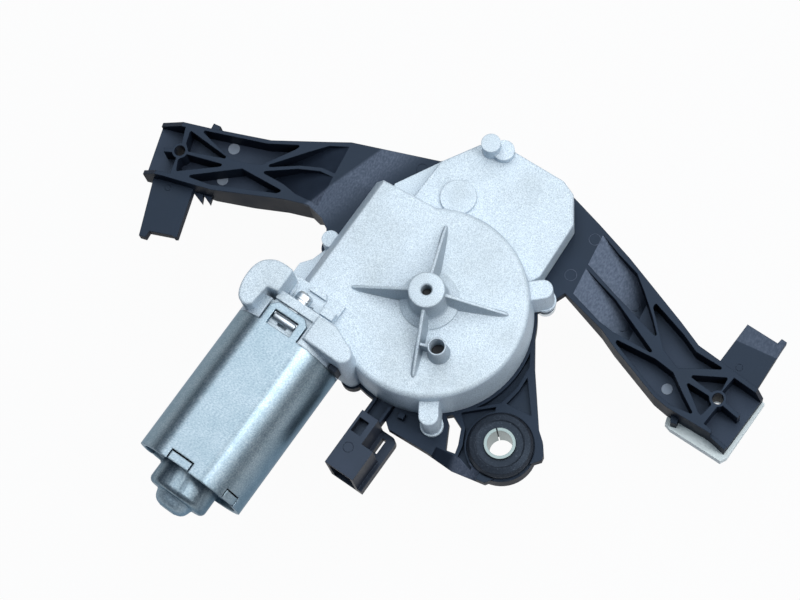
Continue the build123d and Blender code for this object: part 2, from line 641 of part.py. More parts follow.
def worm_thread():
    lead = 2 * pi * WHEEL_PITCH_R / WHEEL_TEETH
    spiral = Helix(pitch=lead, height=WORM_TURNS * lead, radius=SPINDLE_R)
    tip = WORM_PITCH_R + WORM_ADDENDUM
    slope = tan(radians(PRESSURE_ANGLE))
    wide = THREAD_WIDTH / 2 + (WORM_PITCH_R - SPINDLE_R + 0.3) * slope
    narrow = THREAD_WIDTH / 2 - WORM_ADDENDUM * slope
    profile = face([(SPINDLE_R - 0.3, -wide), (tip, -narrow), (tip, narrow), (SPINDLE_R - 0.3, wide)])
    thread = sweep(Plane.XZ * profile, path=spiral, is_frenet=True)
    return Pos(0, 0, -WORM_TURNS * lead / 2) * thread


def lamination_stack():
    plan = Circle(STACK_R)
    for i in range(SLOTS):
        plan -= Rot(0, 0,
                    360 / SLOTS * i) * (Pos(SLOT_AT, 0) * Circle(2.4) + Pos(STACK_R - 1.8, 0) * Rectangle(4.2, 1.6))
    plan -= Circle(SPINDLE_R)
    return MOTOR * extrude(Pos(0, 0, STACK[0]) * plan, amount=STACK[1] - STACK[0])


def armature_windings():
    ends = along(COIL_R, COMMUTATOR[1] + 0.2, STACK[0]) + along(COIL_R, STACK[1], STACK[1] + 6.5)
    outer = ends.edges().group_by(Axis.Z)
    wires = chamfer(outer[0] + outer[-1], 2.0)
    for i in range(SLOTS):
        turn = radians(360 / SLOTS * i)
        wires += along(2.3, STACK[0], STACK[1], SLOT_AT * cos(turn), SLOT_AT * sin(turn))
    return MOTOR * (wires - along(SPINDLE_R, 50, 100))


def commutator():
    drum = along(COMMUTATOR_R, *COMMUTATOR) - along(SPINDLE_R, 40, 60)
    for i in range(SLOTS):
        drum -= Rot(0, 0, 360 / SLOTS * (i + 0.5)) * Pos(COMMUTATOR_R, 0, 49) * Box(2.0, 0.5, 9)
    return MOTOR * drum


def can_magnets():
    """Two ferrite arcs against the round sides of the can."""
    inner, outer = STACK_R + 0.5, CAN_R - CAN_WALL
    arcs = extrude(Pos(0, 0, 57) * (Circle(outer) - Circle(inner)), amount=33)
    reach = 0.72 * outer
    keep = block(-2 * outer, -6, -reach, reach, 50, 95) + block(6, 2 * outer, -reach, reach, 50, 95)
    return MOTOR * (arcs & keep)


# ================================================================== motor can and its fittings
MOUTH_R = CAN_R - 3.05                         # opening of the flange for the brush card
MOUTH_FLAT = CAN_FLAT - 6.5
BOSS_R = 12.3
BOSS_END = 114.3
DOME_END = 119.4
END_PLATE = (101.6, 103.4)
TAB_TURNS = (28, 208)


def end_notches(margin):
    """Notches at the can's rim for the end plate's tabs, less margin all round."""
    shape = block(-5.8 + margin, 3.4 - margin, -30, 30, END_PLATE[0] + margin, CAN_END + 1)
    for turn in TAB_TURNS:
        side = block(10, 30, -3.6 + margin, 3.6 - margin, END_PLATE[0] + margin, CAN_END + 1)
        shape += Rot(0, 0, turn) * side
    return shape


def motor_can():
    shell = double_d(CAN_R, CAN_FLAT, CAN_START, CAN_END)
    shell -= double_d(CAN_R - CAN_WALL, CAN_FLAT - CAN_WALL, CAN_START - 1, CAN_END + 1)
    tongue = block(-9.2, 7.5, CAN_FLAT - CAN_WALL, CAN_FLAT, 33.9, CAN_START + 1)
    tongue = chamfer(tongue.edges().filter_by(Axis.Y).group_by(Axis.Z)[0], 2.3)
    tongue -= block(-6.4, 4.4, 15, 25, 36.8, 42.9)
    shell += tongue + Rot(0, 0, 180) * tongue
    return MOTOR * (shell - end_notches(0))


def can_end_plate():
    skin = CAN_WALL - 0.4
    profile = [(0, 117.8), (4.4, 117.2), (5.8, BOSS_END - skin), (BOSS_R - skin - 1.2, BOSS_END - skin),
               (BOSS_R - skin, BOSS_END - skin - 1.2), (BOSS_R - skin, END_PLATE[0]), (CAN_R, END_PLATE[0]),
               (CAN_R, END_PLATE[1]), (BOSS_R + 0.5, END_PLATE[1]), (BOSS_R, END_PLATE[1] + 0.8),
               (BOSS_R, BOSS_END - 1.6), (BOSS_R - 1.6, BOSS_END), (7.2, BOSS_END), (6.3, BOSS_END + 1.2),
               (5.2, DOME_END - 1.2), (3.4, DOME_END), (0, DOME_END)]
    body = turned(profile)
    inside = double_d(CAN_R - CAN_WALL, CAN_FLAT - CAN_WALL, END_PLATE[0] - 1, END_PLATE[1] + 0.1)
    inner = CAN_WALL + 0.2
    sleeve = double_d(CAN_R, CAN_FLAT, END_PLATE[0], CAN_END - 0.3)
    sleeve -= double_d(CAN_R - inner, CAN_FLAT - inner, END_PLATE[0] - 1, CAN_END)
    tabs = end_notches(0.1) & sleeve
    return MOTOR * ((body & (inside + along(BOSS_R + 0.6, END_PLATE[1], DOME_END + 1))) + tabs)


def end_bearing():
    ball = Sphere(7.0) & Cylinder(7.0, 8.0)
    return MOTOR * Pos(0, 0, 108) * (ball - Cylinder(SPINDLE_R + FIT, 20))


def bearing_retainer():
    """Spring collar that holds the self-aligning bush in the end plate's boss."""
    collar = along(BOSS_R - 1.6, 103.6, 104.4) - along(6.1, 100, 108)
    rim = along(BOSS_R - 1.6, 104.4, BOSS_END - 3.2) - along(BOSS_R - 2.4, 103, 115)
    seat = along(BOSS_R - 2.4, 107, 109) - Pos(0, 0, 108) * Sphere(7.0)
    return MOTOR * (collar + rim + seat)


def thrust_pads():
    """Hard pads that the spindle's two ends run against."""
    tip = along(WORM_ROOM_R, THRUST_S, THRUST_S + 1.0)
    return [MOTOR * tip, MOTOR * along(4.2, SPINDLE_END + GAP, 117.1)]


def spindle_bushes():
    tip = along(WORM_ROOM_R, THRUST_S + 1.0, -20) - along(SPINDLE_R + FIT, -40, 0)
    flange = along(8.0, 22.2, 31.0) - along(SPINDLE_R + FIT, 20, 40)
    return [MOTOR * tip, MOTOR * flange]


def brush_holder():
    reach = CAN_R - CAN_WALL - 2.25
    card = double_d(MOUTH_R, MOUTH_FLAT, 36.2, 38.6) - along(6.0, 30, 44)
    guides = block(-reach, reach, -4.2, 4.2, 38.6, 46.4) - along(COMMUTATOR_R + 0.8, 38, 60)
    boxes = block(-reach, reach, -4.2, 4.2, 46.4, 54.0) - block(-reach - 1, reach + 1, -3.0, 3.0, 46.4, 52.6)
    boxes -= along(COMMUTATOR_R + 0.8, 38, 60)
    return MOTOR * (card + guides + boxes)


def brushes():
    start = COMMUTATOR_R + GAP
    end = start + BRUSH_LENGTH
    return [MOTOR * block(start, end, -2.9, 2.9, 46.5, 52.5),
            MOTOR * block(-end, -start, -2.9, 2.9, 46.5, 52.5)]


def brush_springs():
    """Pressure springs behind the brushes."""
    start = COMMUTATOR_R + GAP + BRUSH_LENGTH
    room = CAN_R - CAN_WALL - start - 0.6
    coil = Helix(pitch=room / 4, height=room * 0.75, radius=1.7)
    wire = sweep(Plane.XZ * Pos(1.7, 0) * Rectangle(0.5, 0.5), path=coil, is_frenet=True)
    right = Pos(start + 0.3, 0, 49.5) * Rot(0, 90, 0) * wire
    return [MOTOR * right, MOTOR * Rot(0, 0, 180) * right]


def chokes():
    shape = []
    for t, y in ((7.5, 11.5), (-7.5, -11.5)):
        shape.append(MOTOR * (along(2.6, 43.5, 53.0, t, y) + along(1.6, 38.6, 54.0, t, y)))
    return shape


def seal_shape():
    """Face seal between flange and can, with the plug that closes the flange's side notch."""
    seal = double_d(MOUTH_R + 2.2, MOUTH_FLAT + 4.1, CAN_START - 1.4, CAN_START)
    seal -= double_d(MOUTH_R + 0.7, MOUTH_FLAT + 2.6, CAN_START - 3, CAN_START + 1)
    return seal + block(20.8, 24.2, 2.5, 11.5, CAN_START - 2.4, CAN_START)


def flange_seal():
    return MOTOR * seal_shape()


# ================================================================== mounting bracket
LEFT_TOP = [(-147.3, -24.0), (-125.8, -19.6), (-101.5, -13.8), (-80.0, -4.5), (-72.1, -1.0), (-36.6, 6.9)]
LEFT_LOW = [(-143.0, -47.4), (-134.4, -45.6), (-113.5, -42.4), (-85.6, -33.6), (-75.5, -31.5),
            (-68.2, -34.0),
            (-64.4, -37.1), (-61, -44), (-40, -44), (-25, -10)]
RIGHT_TOP = [(115.5, -23.9), (95.1, -19.5), (85.7, -17.6), (75.8, -12.1), (47.4, 2.5), (31.1, 9.8),
             (17.4, 15.5),
             (10, 17)]
RIGHT_LOW = [(111.0, -49.0), (103.6, -46.6), (85.3, -44.7), (79.2, -43.0), (57.3, -32.1), (50.0, -27.8),
             (31.0, -20.8), (5, -20)]
LEFT_POCKETS = [
    [(-129.6, -21.9), (-102.3, -15.7), (-89.5, -10.4), (-90.9, -13.1), (-100.3, -24.6), (-106.5, -26.6),
     (-112.8, -27.8)],
    [(-133.2, -23.9), (-113.0, -27.9), (-115.0, -28.6), (-129.7, -32.2), (-132.1, -29.4)],
    [(-129.9, -33.5), (-113.5, -30.8), (-115.2, -32.5), (-130.1, -41.6), (-131.7, -37.0)],
    [(-126.1, -41.8), (-106.5, -29.3), (-87.5, -30.7), (-89.2, -32.6), (-114.5, -40.6)],
    [(-100.4, -26.0), (-85.8, -11.9), (-79.5, -6.1), (-66, -0.6), (-66, -15.4), (-77.8, -15.4),
     (-86.0, -18.3)],
    [(-99.4, -27.3), (-86.2, -19.9), (-77.9, -17.1), (-66, -17.1), (-66, -32.0), (-75.0, -29.7),
     (-82.1, -29.6),
     (-88.7, -28.0)]]
RIGHT_POCKETS = [
    [(31.5, 7.9), (42.9, 2.2), (52.5, -1.8), (58.1, -7.2), (64.9, -14.5), (70.9, -22.1), (47.2, -12.4),
     (29.1, -4.4)],
    [(31.2, -7.3), (49.7, -14.8), (72.8, -28.2), (54.1, -26.7), (48.1, -25.4), (29.9, -17.9)],
    [(63.8, -9.3), (79.0, -16.2), (86.0, -20.3), (98.9, -21.9), (85.7, -27.5), (82.4, -29.1), (74.5, -24.9),
     (63.8, -11.5)],
    [(56.6, -28.9), (73.3, -29.4), (81.5, -31.3), (88.1, -37.0), (95.6, -43.0), (86.5, -43.2), (79.2, -41.4),
     (57.2, -30.4)],
    [(87.0, -29.8), (101.0, -24.2), (100.8, -29.7), (97.8, -32.2)],
    [(87.0, -32.4), (97.4, -33.8), (99.7, -36.5), (98.0, -42.0), (96.2, -41.0)]]
LEFT_END = [(-160, -28.4), (-135.6, -23.5), (-133.6, -30.7), (-132.8, -36.3), (-131.8, -43.4), (-160, -49.0)]
RIGHT_END = [(102.9, -23.3), (125, -27.6), (125, -51.2), (100.2, -44.3), (102.0, -36.0), (101.2, -30.0)]
LEFT_STUB = (-139.0, -35.6)
RIGHT_STUB = (110.8, -36.2)
LEFT_TAB = [(-139.2, -46.0), (-132.6, -70.2), (-129.9, -69.8), (-129.8, -66.9), (-120.3, -64.5),
            (-119.4, -64.9),
            (-118.4, -64.4), (-122.4, -43.0)]
RIGHT_TAB = [(98.2, -0.5), (111.5, -2.4), (112.2, -0.2), (114.5, -0.6), (114.1, -3.3), (111.8, -24.0),
             (94.6, -20.0)]
TAB_LEVELS = (16.0, 20.0)
LEG = [(-14.0, -86.0), (-14.0, -89.0), (-5.5, -98.0), (11.5, -99.6), (22.8, -101.4), (36.6, -100.6),
       (50.0, -85.4), (52.0, -83.5), (51.9, -81.5), (49.3, -76.9), (45.8, -73.2), (33.8, -52.3), (24.5,
                                                                                                  -33.0),
       (24.0, -26.0), (0, -50)]
LEG_SLOT = [(11.9, -83.6), (12.8, -81.6), (19.2, -85.4), (21.2, -92.0), (21.6, -95.4), (17.8, -95.7),
            (14.2, -85.9)]
LEG_ROOMS = [[(16.5,
               -80.2), (20.6, -84.8), (22.8, -91.6), (23.0, -95.8), (29.5, -98.4), (30.0, -85.0), (27.5, -72.4)],
             [(33.0, -57.0), (32.4, -63.0), (30.4, -69.6), (41.0, -69.8)],
             [(25.2, -37.0), (31.8, -53.0), (31.2, -62.5), (28.4, -70.2), (18.0, -78.0)]]
LEG_FLOOR = 23.0
LEG_BEVEL = [(-96.2, PARTING), (-101.6, PLATE_BOTTOM), (-104, PLATE_BOTTOM), (-104, PARTING)]
COLLAR_R = 13.6                        # thin wall round the grommet's lower flange
COLLAR_ROOM_R = 12.6
GROMMET_R = 12.5
GROMMET_GROOVE = (21.0, 25.0)
COLLAR_BOTTOM = 17.5
GROOVE_R = 9.2
ARM_BOSS_R = 3.2
PAD_BOTTOM = 8.5
POCKET_R = 0.6                         # rounding of the arms' pockets


def side_view(points, y0=-80, y1=40):
    """Slab whose outline in X and Z is given, running from y0 to y1."""
    return extrude(Plane.XZ.offset(-y1) * face(points), amount=y1 - y0)


def arm_profile(end, rim_end, skirt, root, tip):
    """Outline of an arm seen from the side; `end` is its outer end, `skirt` the lowest edge's points."""
    return [(end, ARM_BOTTOM)] + skirt + [(root, skirt[-1][1] if skirt else ARM_BOTTOM), (tip, PLATE_BOTTOM),
                                          (0, PLATE_BOTTOM), (0, PARTING), (rim_end, PARTING), (end,
                                                                                                ARM_FLOOR)]


def channel_arm(plan, pockets, end_room, profile, floor, bore, stub):
    """Open-topped arm: pockets down to a floor that climbs to the plate, and a hollow under that floor.

    `floor` holds three distances along X: where the floor meets the rim, where it is level, and how far the
    hollow underneath reaches.
    """
    inner, outer, seat = floor
    far = outer * 3
    above = side_view([(far, ARM_FLOOR), (outer, ARM_FLOOR), (inner, PARTING), (inner, 40), (far, 40)])
    skin = ARM_FLOOR - ARM_SKIN
    meet = outer + (inner - outer) * (PLATE_BOTTOM - skin) / (PARTING - ARM_FLOOR)
    below = side_view([(seat,
                        0), (seat, skin), (outer, skin), (meet, PLATE_BOTTOM), (0, PLATE_BOTTOM), (0, 0)])
    solid = prism(face(plan), 0, PARTING) & side_view(profile)
    arm = solid - (prism(offset(face(plan), amount=-WALL), 0, PARTING) & below)
    for pocket in pockets:
        rounded = offset(offset(face(pocket), amount=-POCKET_R), amount=POCKET_R)
        arm -= prism(rounded, ARM_BOTTOM, 30) & above
    arm -= prism(face(end_room), ARM_BOTTOM, 30) & above
    return arm + rod(bore, ARM_BOSS_R, ARM_BOTTOM, PARTING) + bar(bore, stub, WALL, ARM_FLOOR, PARTING)


def tab(outline):
    """Flat tab with a rim under its edge."""
    plan = face(outline)
    inside = offset(plan, amount=-1.5, kind=Kind.INTERSECTION)
    return prism(plan, *TAB_LEVELS) - prism(inside, TAB_LEVELS[0] - 1, TAB_LEVELS[1] - 2.0)


def left_arm():
    profile = arm_profile(-150, -137.5, [(-117, ARM_BOTTOM), (-99, 9.5)], -72, -66)
    arm = channel_arm(LEFT_TOP + LEFT_LOW[::-1], LEFT_POCKETS, LEFT_END, profile, (-72, -96, -121),
                      LEFT_BORE,
                      LEFT_STUB)
    peg = block_at((-124.9, -18.4), (3.2, 3.0), 19.0, 24.5)
    prongs = face([(-123.6, -43.6), (-118.8, -43.2), (-117.6, -46.5)]) + \
        face([(-118.6, -43.2), (-115.2, -42.4), (-114.6, -45.4)])
    return arm + peg + prism(prongs, ARM_BOTTOM, ARM_BOTTOM + 3)


def right_arm():
    profile = arm_profile(116, 112.6, [], 50, 31)
    arm = channel_arm(RIGHT_TOP + RIGHT_LOW[::-1], RIGHT_POCKETS, RIGHT_END, profile, (34, 60, 84),
                      RIGHT_BORE,
                      RIGHT_STUB)
    arm -= block_at((112.0, -48.5), (16.0, 9.0), 20.5, 30)
    return arm + prism(face([(86.8, -44.2), (90.5, -44.4), (90.6, -47.4), (88.2, -47.8)]), ARM_BOTTOM, 19)


def leg():
    """Leg that holds the grommet: slot, sunk fields and a bevelled front edge."""
    shape = prism(face(LEG), PLATE_BOTTOM, PARTING)
    shape += rod(GROMMET, COLLAR_R, COLLAR_BOTTOM, GROMMET_GROOVE[1])
    shape -= Pos(14, 0, 0) * extrude(Plane.YZ * face(LEG_BEVEL), amount=19)
    kept = Pos(*WHEEL) * Circle(DISC_R + 2.0) + Pos(*GROMMET) * Circle(COLLAR_R)
    for room in LEG_ROOMS:
        shape -= prism(face(room) - kept, LEG_FLOOR, 30)
    shape -= rod(GROMMET, GROMMET_R + 0.4, GROMMET_GROOVE[1], 30) + prism(face(LEG_SLOT), 10, 40)
    return shape - rod(GROMMET, COLLAR_ROOM_R + 0.2, 10, GROMMET_GROOVE[0]) - rod(GROMMET, GROOVE_R, 10, 40)


def mounting_bracket():
    base = [(-50, -44), (-50, 3.0), (-36.6, 6.9), (-22.5, 17.5), (-18.0, 21.4), (-9.0, 21.0),
            (17.4, 15.5), (31, 9),
            (31, -21), (20, -40)]
    side = [motor_xy(-29, 0), motor_xy(-29, -10), motor_xy(8, -12), motor_xy(16, -12), motor_xy(16, 20)]
    plate = face(base) + face(side) + Pos(*WHEEL) * Circle(DISC_R + 2.0) + Pos(*SIDE_LUG) * Circle(5.0)
    body = prism(plate, PLATE_BOTTOM, PARTING) - MOTOR * block(-60, 24.6, -60, 20, NECK_FLANGE - 0.4, 80)
    body += rod(TOWER, LUG_R + 0.8, PLATE_BOTTOM, PARTING) + leg()
    body += left_arm() + right_arm() + tab(LEFT_TAB) + tab(RIGHT_TAB)
    body += block_at((-2.8, -91.6), (2.4, 2.4), PARTING - 1, PARTING + 3)
    body -= prism(room_plan(2.2 + 0.2), COVER_SEAT, PARTING + 2)
    body -= MOTOR * block(TONGUE_T[0] - 0.9, TONGUE_T[1] + 0.9, level(COVER_SEAT), level(PARTING) + 3,
                          20, 60)
    body -= rod((0, 0), TUBE_R + 0.2, 10, 30)
    for bore in (LEFT_BORE, RIGHT_BORE):
        body -= rod(bore, ARM_BORE_R, 5, 40)
    for point in SCREW_POINTS:
        body -= rod(point, SCREW_R, 10, 30)
    for point in TUBE_SCREWS:
        body -= rod(point, TUBE_SCREW_R, 10, 30)
    return body


def end_pad():
    """Nylon pad clipped under the right arm's end, standing out beyond its lower edge."""
    plan = [(85.6, -45.2), (86.0, -47.6), (88.6, -48.8), (110.9, -51.9), (112.6, -49.5), (116.5, -24.1),
            (109, -22.6),
            (90, -24)]
    return prism(face(plan), PAD_BOTTOM, ARM_BOTTOM) - rod(RIGHT_BORE, ARM_BORE_R + 0.5, 0, 20)


def rubber_grommet():
    r, bore = GROMMET_R, 6.0
    groove0, groove1 = GROMMET_GROOVE
    profile = [(bore, 16.4), (9.6, 16.4), (r - 1.0, 17.6), (r - 0.2, 19.0), (r - 0.2, groove0),
               (GROOVE_R, groove0),
               (GROOVE_R, groove1), (r, groove1), (r, 27.6), (r - 0.9, 28.9), (9.4, 29.6), (8.8, 29.2),
               (bore, 29.2)]
    return Pos(*GROMMET) * turned(profile)


def grommet_sleeve():
    z0 = 23.0 - SLEEVE_LENGTH / 2
    tube = ring((0, 0), 6.0, SLEEVE_BORE_R, z0, z0 + SLEEVE_LENGTH)
    slit = bar((0, 0), (8, 0), 0.5, 0, 50)
    return Pos(*GROMMET) * (tube - Rot(0, 0, 128) * slit)


# ================================================================== run
WHEEL_PHASE = MOTOR_ANGLE + 90 + 180 / WHEEL_TEETH
NODES = {
    "gear_housing": gear_housing, "housing_gasket": housing_gasket, "cover_plate": cover_plate,
    "lead_frame": lead_frame, "park_contacts": park_contacts, "connector_shell": connector_shell,
    "connector_terminals": connector_terminals, "mounting_bracket": mounting_bracket, "end_pad": end_pad,
    "rubber_grommet": rubber_grommet, "grommet_sleeve": grommet_sleeve, "motor_can": motor_can,
    "can_end_plate": can_end_plate, "end_bearing": end_bearing, "bearing_retainer": bearing_retainer,
    "can_magnets": can_magnets, "can_clips": can_clips, "clamp_screws": clamp_screws,
    "lock_washers": lock_washers,
    "flange_seal": flange_seal, "brush_holder": brush_holder, "brushes": brushes,
    "brush_springs": brush_springs, "chokes": chokes, "spindle_bushes": spindle_bushes,
    "thrust_pads": thrust_pads, "armature_shaft": armature_shaft, "lamination_stack": lamination_stack,
    "armature_windings": armature_windings, "commutator": commutator, "worm_wheel": worm_wheel,
    "contact_ring": contact_ring, "wheel_axle": wheel_axle, "axle_retainer": axle_retainer,
    "sector_rod": sector_rod, "crank_pin": crank_pin, "link_plate": link_plate, "pivot_pin": pivot_pin,
    "pivot_clip": pivot_clip, "output_pinion": output_pinion, "output_shaft": output_shaft,
    "bearing_tube": bearing_tube, "shaft_bushes": shaft_bushes, "shaft_circlip": shaft_circlip,
    "shaft_seal": shaft_seal, "tube_screws": tube_screws, "housing_screws": housing_screws,
}


def write(name, made):
    if isinstance(made, list):
        made = Compound(children=made)
    export_step(made, f"parts/{name}.step")


if __name__ == "__main__":
    os.makedirs("parts", exist_ok=True)
    for node, make in NODES.items():
        write(node, make())
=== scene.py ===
import bmesh
import bpy
import json
from math import atan2, cos, pi, radians, sin, sqrt
from mathutils import Matrix, Vector

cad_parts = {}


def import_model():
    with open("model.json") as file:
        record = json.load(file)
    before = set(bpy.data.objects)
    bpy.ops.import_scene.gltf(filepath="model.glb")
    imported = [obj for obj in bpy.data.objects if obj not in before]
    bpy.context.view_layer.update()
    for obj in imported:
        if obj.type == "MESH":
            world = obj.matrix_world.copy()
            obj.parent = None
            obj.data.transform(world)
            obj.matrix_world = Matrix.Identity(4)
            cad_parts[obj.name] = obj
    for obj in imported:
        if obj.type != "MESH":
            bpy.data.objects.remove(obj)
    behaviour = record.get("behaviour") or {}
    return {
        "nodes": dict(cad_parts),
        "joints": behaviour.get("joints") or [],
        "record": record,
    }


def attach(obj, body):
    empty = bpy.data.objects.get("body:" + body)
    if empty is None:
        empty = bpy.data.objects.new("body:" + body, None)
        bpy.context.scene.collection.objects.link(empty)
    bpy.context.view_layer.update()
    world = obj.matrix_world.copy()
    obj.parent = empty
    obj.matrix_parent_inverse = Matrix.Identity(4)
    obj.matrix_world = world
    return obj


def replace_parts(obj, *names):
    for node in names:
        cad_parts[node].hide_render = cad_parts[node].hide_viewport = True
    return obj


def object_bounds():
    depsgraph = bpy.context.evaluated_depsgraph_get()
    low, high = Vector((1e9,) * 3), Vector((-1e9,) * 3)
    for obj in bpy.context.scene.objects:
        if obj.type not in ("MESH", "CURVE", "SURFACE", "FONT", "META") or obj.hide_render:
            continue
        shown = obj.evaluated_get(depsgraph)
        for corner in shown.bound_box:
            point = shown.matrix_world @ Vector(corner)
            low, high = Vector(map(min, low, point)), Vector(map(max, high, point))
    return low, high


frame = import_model()
CAD_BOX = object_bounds()
NODES = frame["nodes"]

# ---------------------------------------------------------------- photograph's view (metres)
CAMERA_AT = Vector((0.1679, -0.2410, 0.8563))
CAMERA_FORWARD = Vector((-0.2208, 0.2180, -0.9506)).normalized()
CAMERA_RIGHT = Vector((0.8840, 0.4565, -0.1006)).normalized()
LENS = 102.0
FLOOR_Z = CAD_BOX[0][2]
MM = 0.001
UP = Vector((0, 0, 1))

# ---------------------------------------------------------------- places on the part, from the frame
SPIN = next(joint for joint in frame["joints"] if joint["name"] == "armature_spin")
WHEEL = Vector(next(joint for joint in frame["joints"] if joint["name"] == "wheel_spin")["pos_m"])
AXIS = Vector(SPIN["axis"])
ACROSS = AXIS.cross(UP)
# the motor's own frame: x across, y up, z towards the can's end
MOTOR = Matrix.Translation(SPIN["pos_m"]) @ Matrix((ACROSS, UP, -AXIS)).transposed().to_4x4()
MOTOR_Z = WHEEL.z / MM         # level of the motor's axis, millimetres
AT_WHEEL = Matrix.Translation((WHEEL.x, WHEEL.y, 0))


# ================================================================ node helpers
class Shader:
    """A material with one Principled shader, built up step by step."""

    def __init__(self, name, metallic=0.0, roughness=0.5, specular=0.5, tint=(1.0, 1.0, 1.0)):
        self.material = bpy.data.materials.new(name)
        self.material.use_nodes = True
        self.nodes = self.material.node_tree.nodes
        self.links = self.material.node_tree.links
        self.bsdf = self.nodes["Principled BSDF"]
        self.bsdf.inputs["Metallic"].default_value = metallic
        self.bsdf.inputs["Roughness"].default_value = roughness
        self.bsdf.inputs["Specular IOR Level"].default_value = specular
        self.bsdf.inputs["Specular Tint"].default_value = (*tint, 1.0)
        self.place = self.nodes.new("ShaderNodeTexCoord").outputs["Object"]

    def noise(self, size, detail=2.0, stretch=None):
        """Noise in blobs of about `size` metres; `stretch` is a turn and a squeeze along each axis."""
        node = self.nodes.new("ShaderNodeTexNoise")
        node.inputs["Scale"].default_value = 1.0 / size
        node.inputs["Detail"].default_value = detail
        place = self.place
        if stretch:
            mapping = self.nodes.new("ShaderNodeMapping")
            mapping.inputs["Rotation"].default_value = stretch[0]
            mapping.inputs["Scale"].default_value = stretch[1]
            self.links.new(place, mapping.inputs["Vector"])
            place = mapping.outputs["Vector"]
        self.links.new(place, node.inputs["Vector"])
        return node.outputs["Fac"]

    def ramp(self, value, stops):
        """Colour that runs through `stops`, pairs of place and colour."""
        node = self.nodes.new("ShaderNodeValToRGB")
        ramp = node.color_ramp
        while len(ramp.elements) < len(stops):
            ramp.elements.new(0.5)
        for element, (at, colour) in zip(ramp.elements, stops):
            element.position = at
            element.color = (*colour, 1.0)
        self.links.new(value, node.inputs["Fac"])
        return node.outputs["Color"]

    def spread(self, value, low, high):
        """Maps noise's middle range to low..high."""
        node = self.nodes.new("ShaderNodeMapRange")
        node.inputs["From Min"].default_value = 0.3
        node.inputs["From Max"].default_value = 0.7
        node.inputs["To Min"].default_value = low
        node.inputs["To Max"].default_value = high
        self.links.new(value, node.inputs["Value"])
        return node.outputs["Result"]

    def mix(self, a, b, factor, how="MIX"):
        """Blend of two colours; each input is a number, a colour or a socket."""
        node = self.nodes.new("ShaderNodeMix")
        node.data_type = "RGBA"
        node.blend_type = how
        pairs = ((factor, node.inputs["Factor"]), (a, node.inputs["A"]), (b, node.inputs["B"]))
        for value, socket in pairs:
            if isinstance(value, (int, float)):
                socket.default_value = value
            elif isinstance(value, tuple):
                socket.default_value = (*value, 1.0)
            else:
                self.links.new(value, socket)
        return node.outputs["Result"]

    def part_of(self, vector, axis):
        """One coordinate of the surface's place or direction in the part's frame."""
        geometry = self.nodes.new("ShaderNodeNewGeometry")
        split = self.nodes.new("ShaderNodeSeparateXYZ")
        self.links.new(geometry.outputs[vector], split.inputs["Vector"])
        return split.outputs[axis]

    def along(self, start, way):
        """Distance from `start` along the direction `way`, in the part's frame."""
        geometry = self.nodes.new("ShaderNodeNewGeometry")
        shift = self.nodes.new("ShaderNodeVectorMath")
        shift.operation = "SUBTRACT"
        shift.inputs[1].default_value = start
        self.links.new(geometry.outputs["Position"], shift.inputs[0])
        dot = self.nodes.new("ShaderNodeVectorMath")
        dot.operation = "DOT_PRODUCT"
        dot.inputs[1].default_value = way
        self.links.new(shift.outputs["Vector"], dot.inputs[0])
        return dot.outputs["Value"]

    def smooth(self, value, off, on):
        """0 at `off` and 1 at `on`, smooth between."""
        node = self.nodes.new("ShaderNodeMapRange")
        node.interpolation_type = "SMOOTHSTEP"
        low, high = min(off, on), max(off, on)
        node.inputs["From Min"].default_value = low
        node.inputs["From Max"].default_value = high
        node.inputs["To Min"].default_value = 0.0 if on > off else 1.0
        node.inputs["To Max"].default_value = 1.0 if on > off else 0.0
        self.links.new(value, node.inputs["Value"])
        return node.outputs["Result"]

    def times(self, a, b):
        """Product of two masks; the second may be a plain number."""
        node = self.nodes.new("ShaderNodeMath")
        node.operation = "MULTIPLY"
        self.links.new(a, node.inputs[0])
        if isinstance(b, float):
            node.inputs[1].default_value = b
        else:
            self.links.new(b, node.inputs[1])
        return node.outputs["Value"]

    def colour(self, value):
        """Base colour from a socket."""
        self.links.new(value, self.bsdf.inputs["Base Color"])

    def sheen(self, low, high):
        """Specular level that falls from `high` on top faces to `low` on upright ones."""
        node = self.nodes.new("ShaderNodeMapRange")
        node.inputs["From Min"].default_value = 0.2
        node.inputs["From Max"].default_value = 0.7
        node.inputs["To Min"].default_value = low
        node.inputs["To Max"].default_value = high
        self.links.new(self.part_of("Normal", "Z"), node.inputs["Value"])
        self.links.new(node.outputs["Result"], self.bsdf.inputs["Specular IOR Level"])

    def rough(self, value):
        """Roughness from a socket."""
        self.links.new(value, self.bsdf.inputs["Roughness"])

    def bump(self, height, depth, edge=0.0):
        """Bump `depth` metres high, over edges softened to radius `edge`."""
        node = self.nodes.new("ShaderNodeBump")
        node.inputs["Distance"].default_value = depth
        self.links.new(height, node.inputs["Height"])
        if edge:
            bevel = self.nodes.new("ShaderNodeBevel")
            bevel.samples = 4
            bevel.inputs["Radius"].default_value = edge
            self.links.new(bevel.outputs["Normal"], node.inputs["Normal"])
        self.links.new(node.outputs["Normal"], self.bsdf.inputs["Normal"])


def linear(r, g, b):
    """sRGB bytes to the linear colour that the shader wants."""
    def one(value):
        value /= 255
        return value / 12.92 if value <= 0.04045 else ((value + 0.055) / 1.055) ** 2.4
    return (one(r), one(g), one(b))


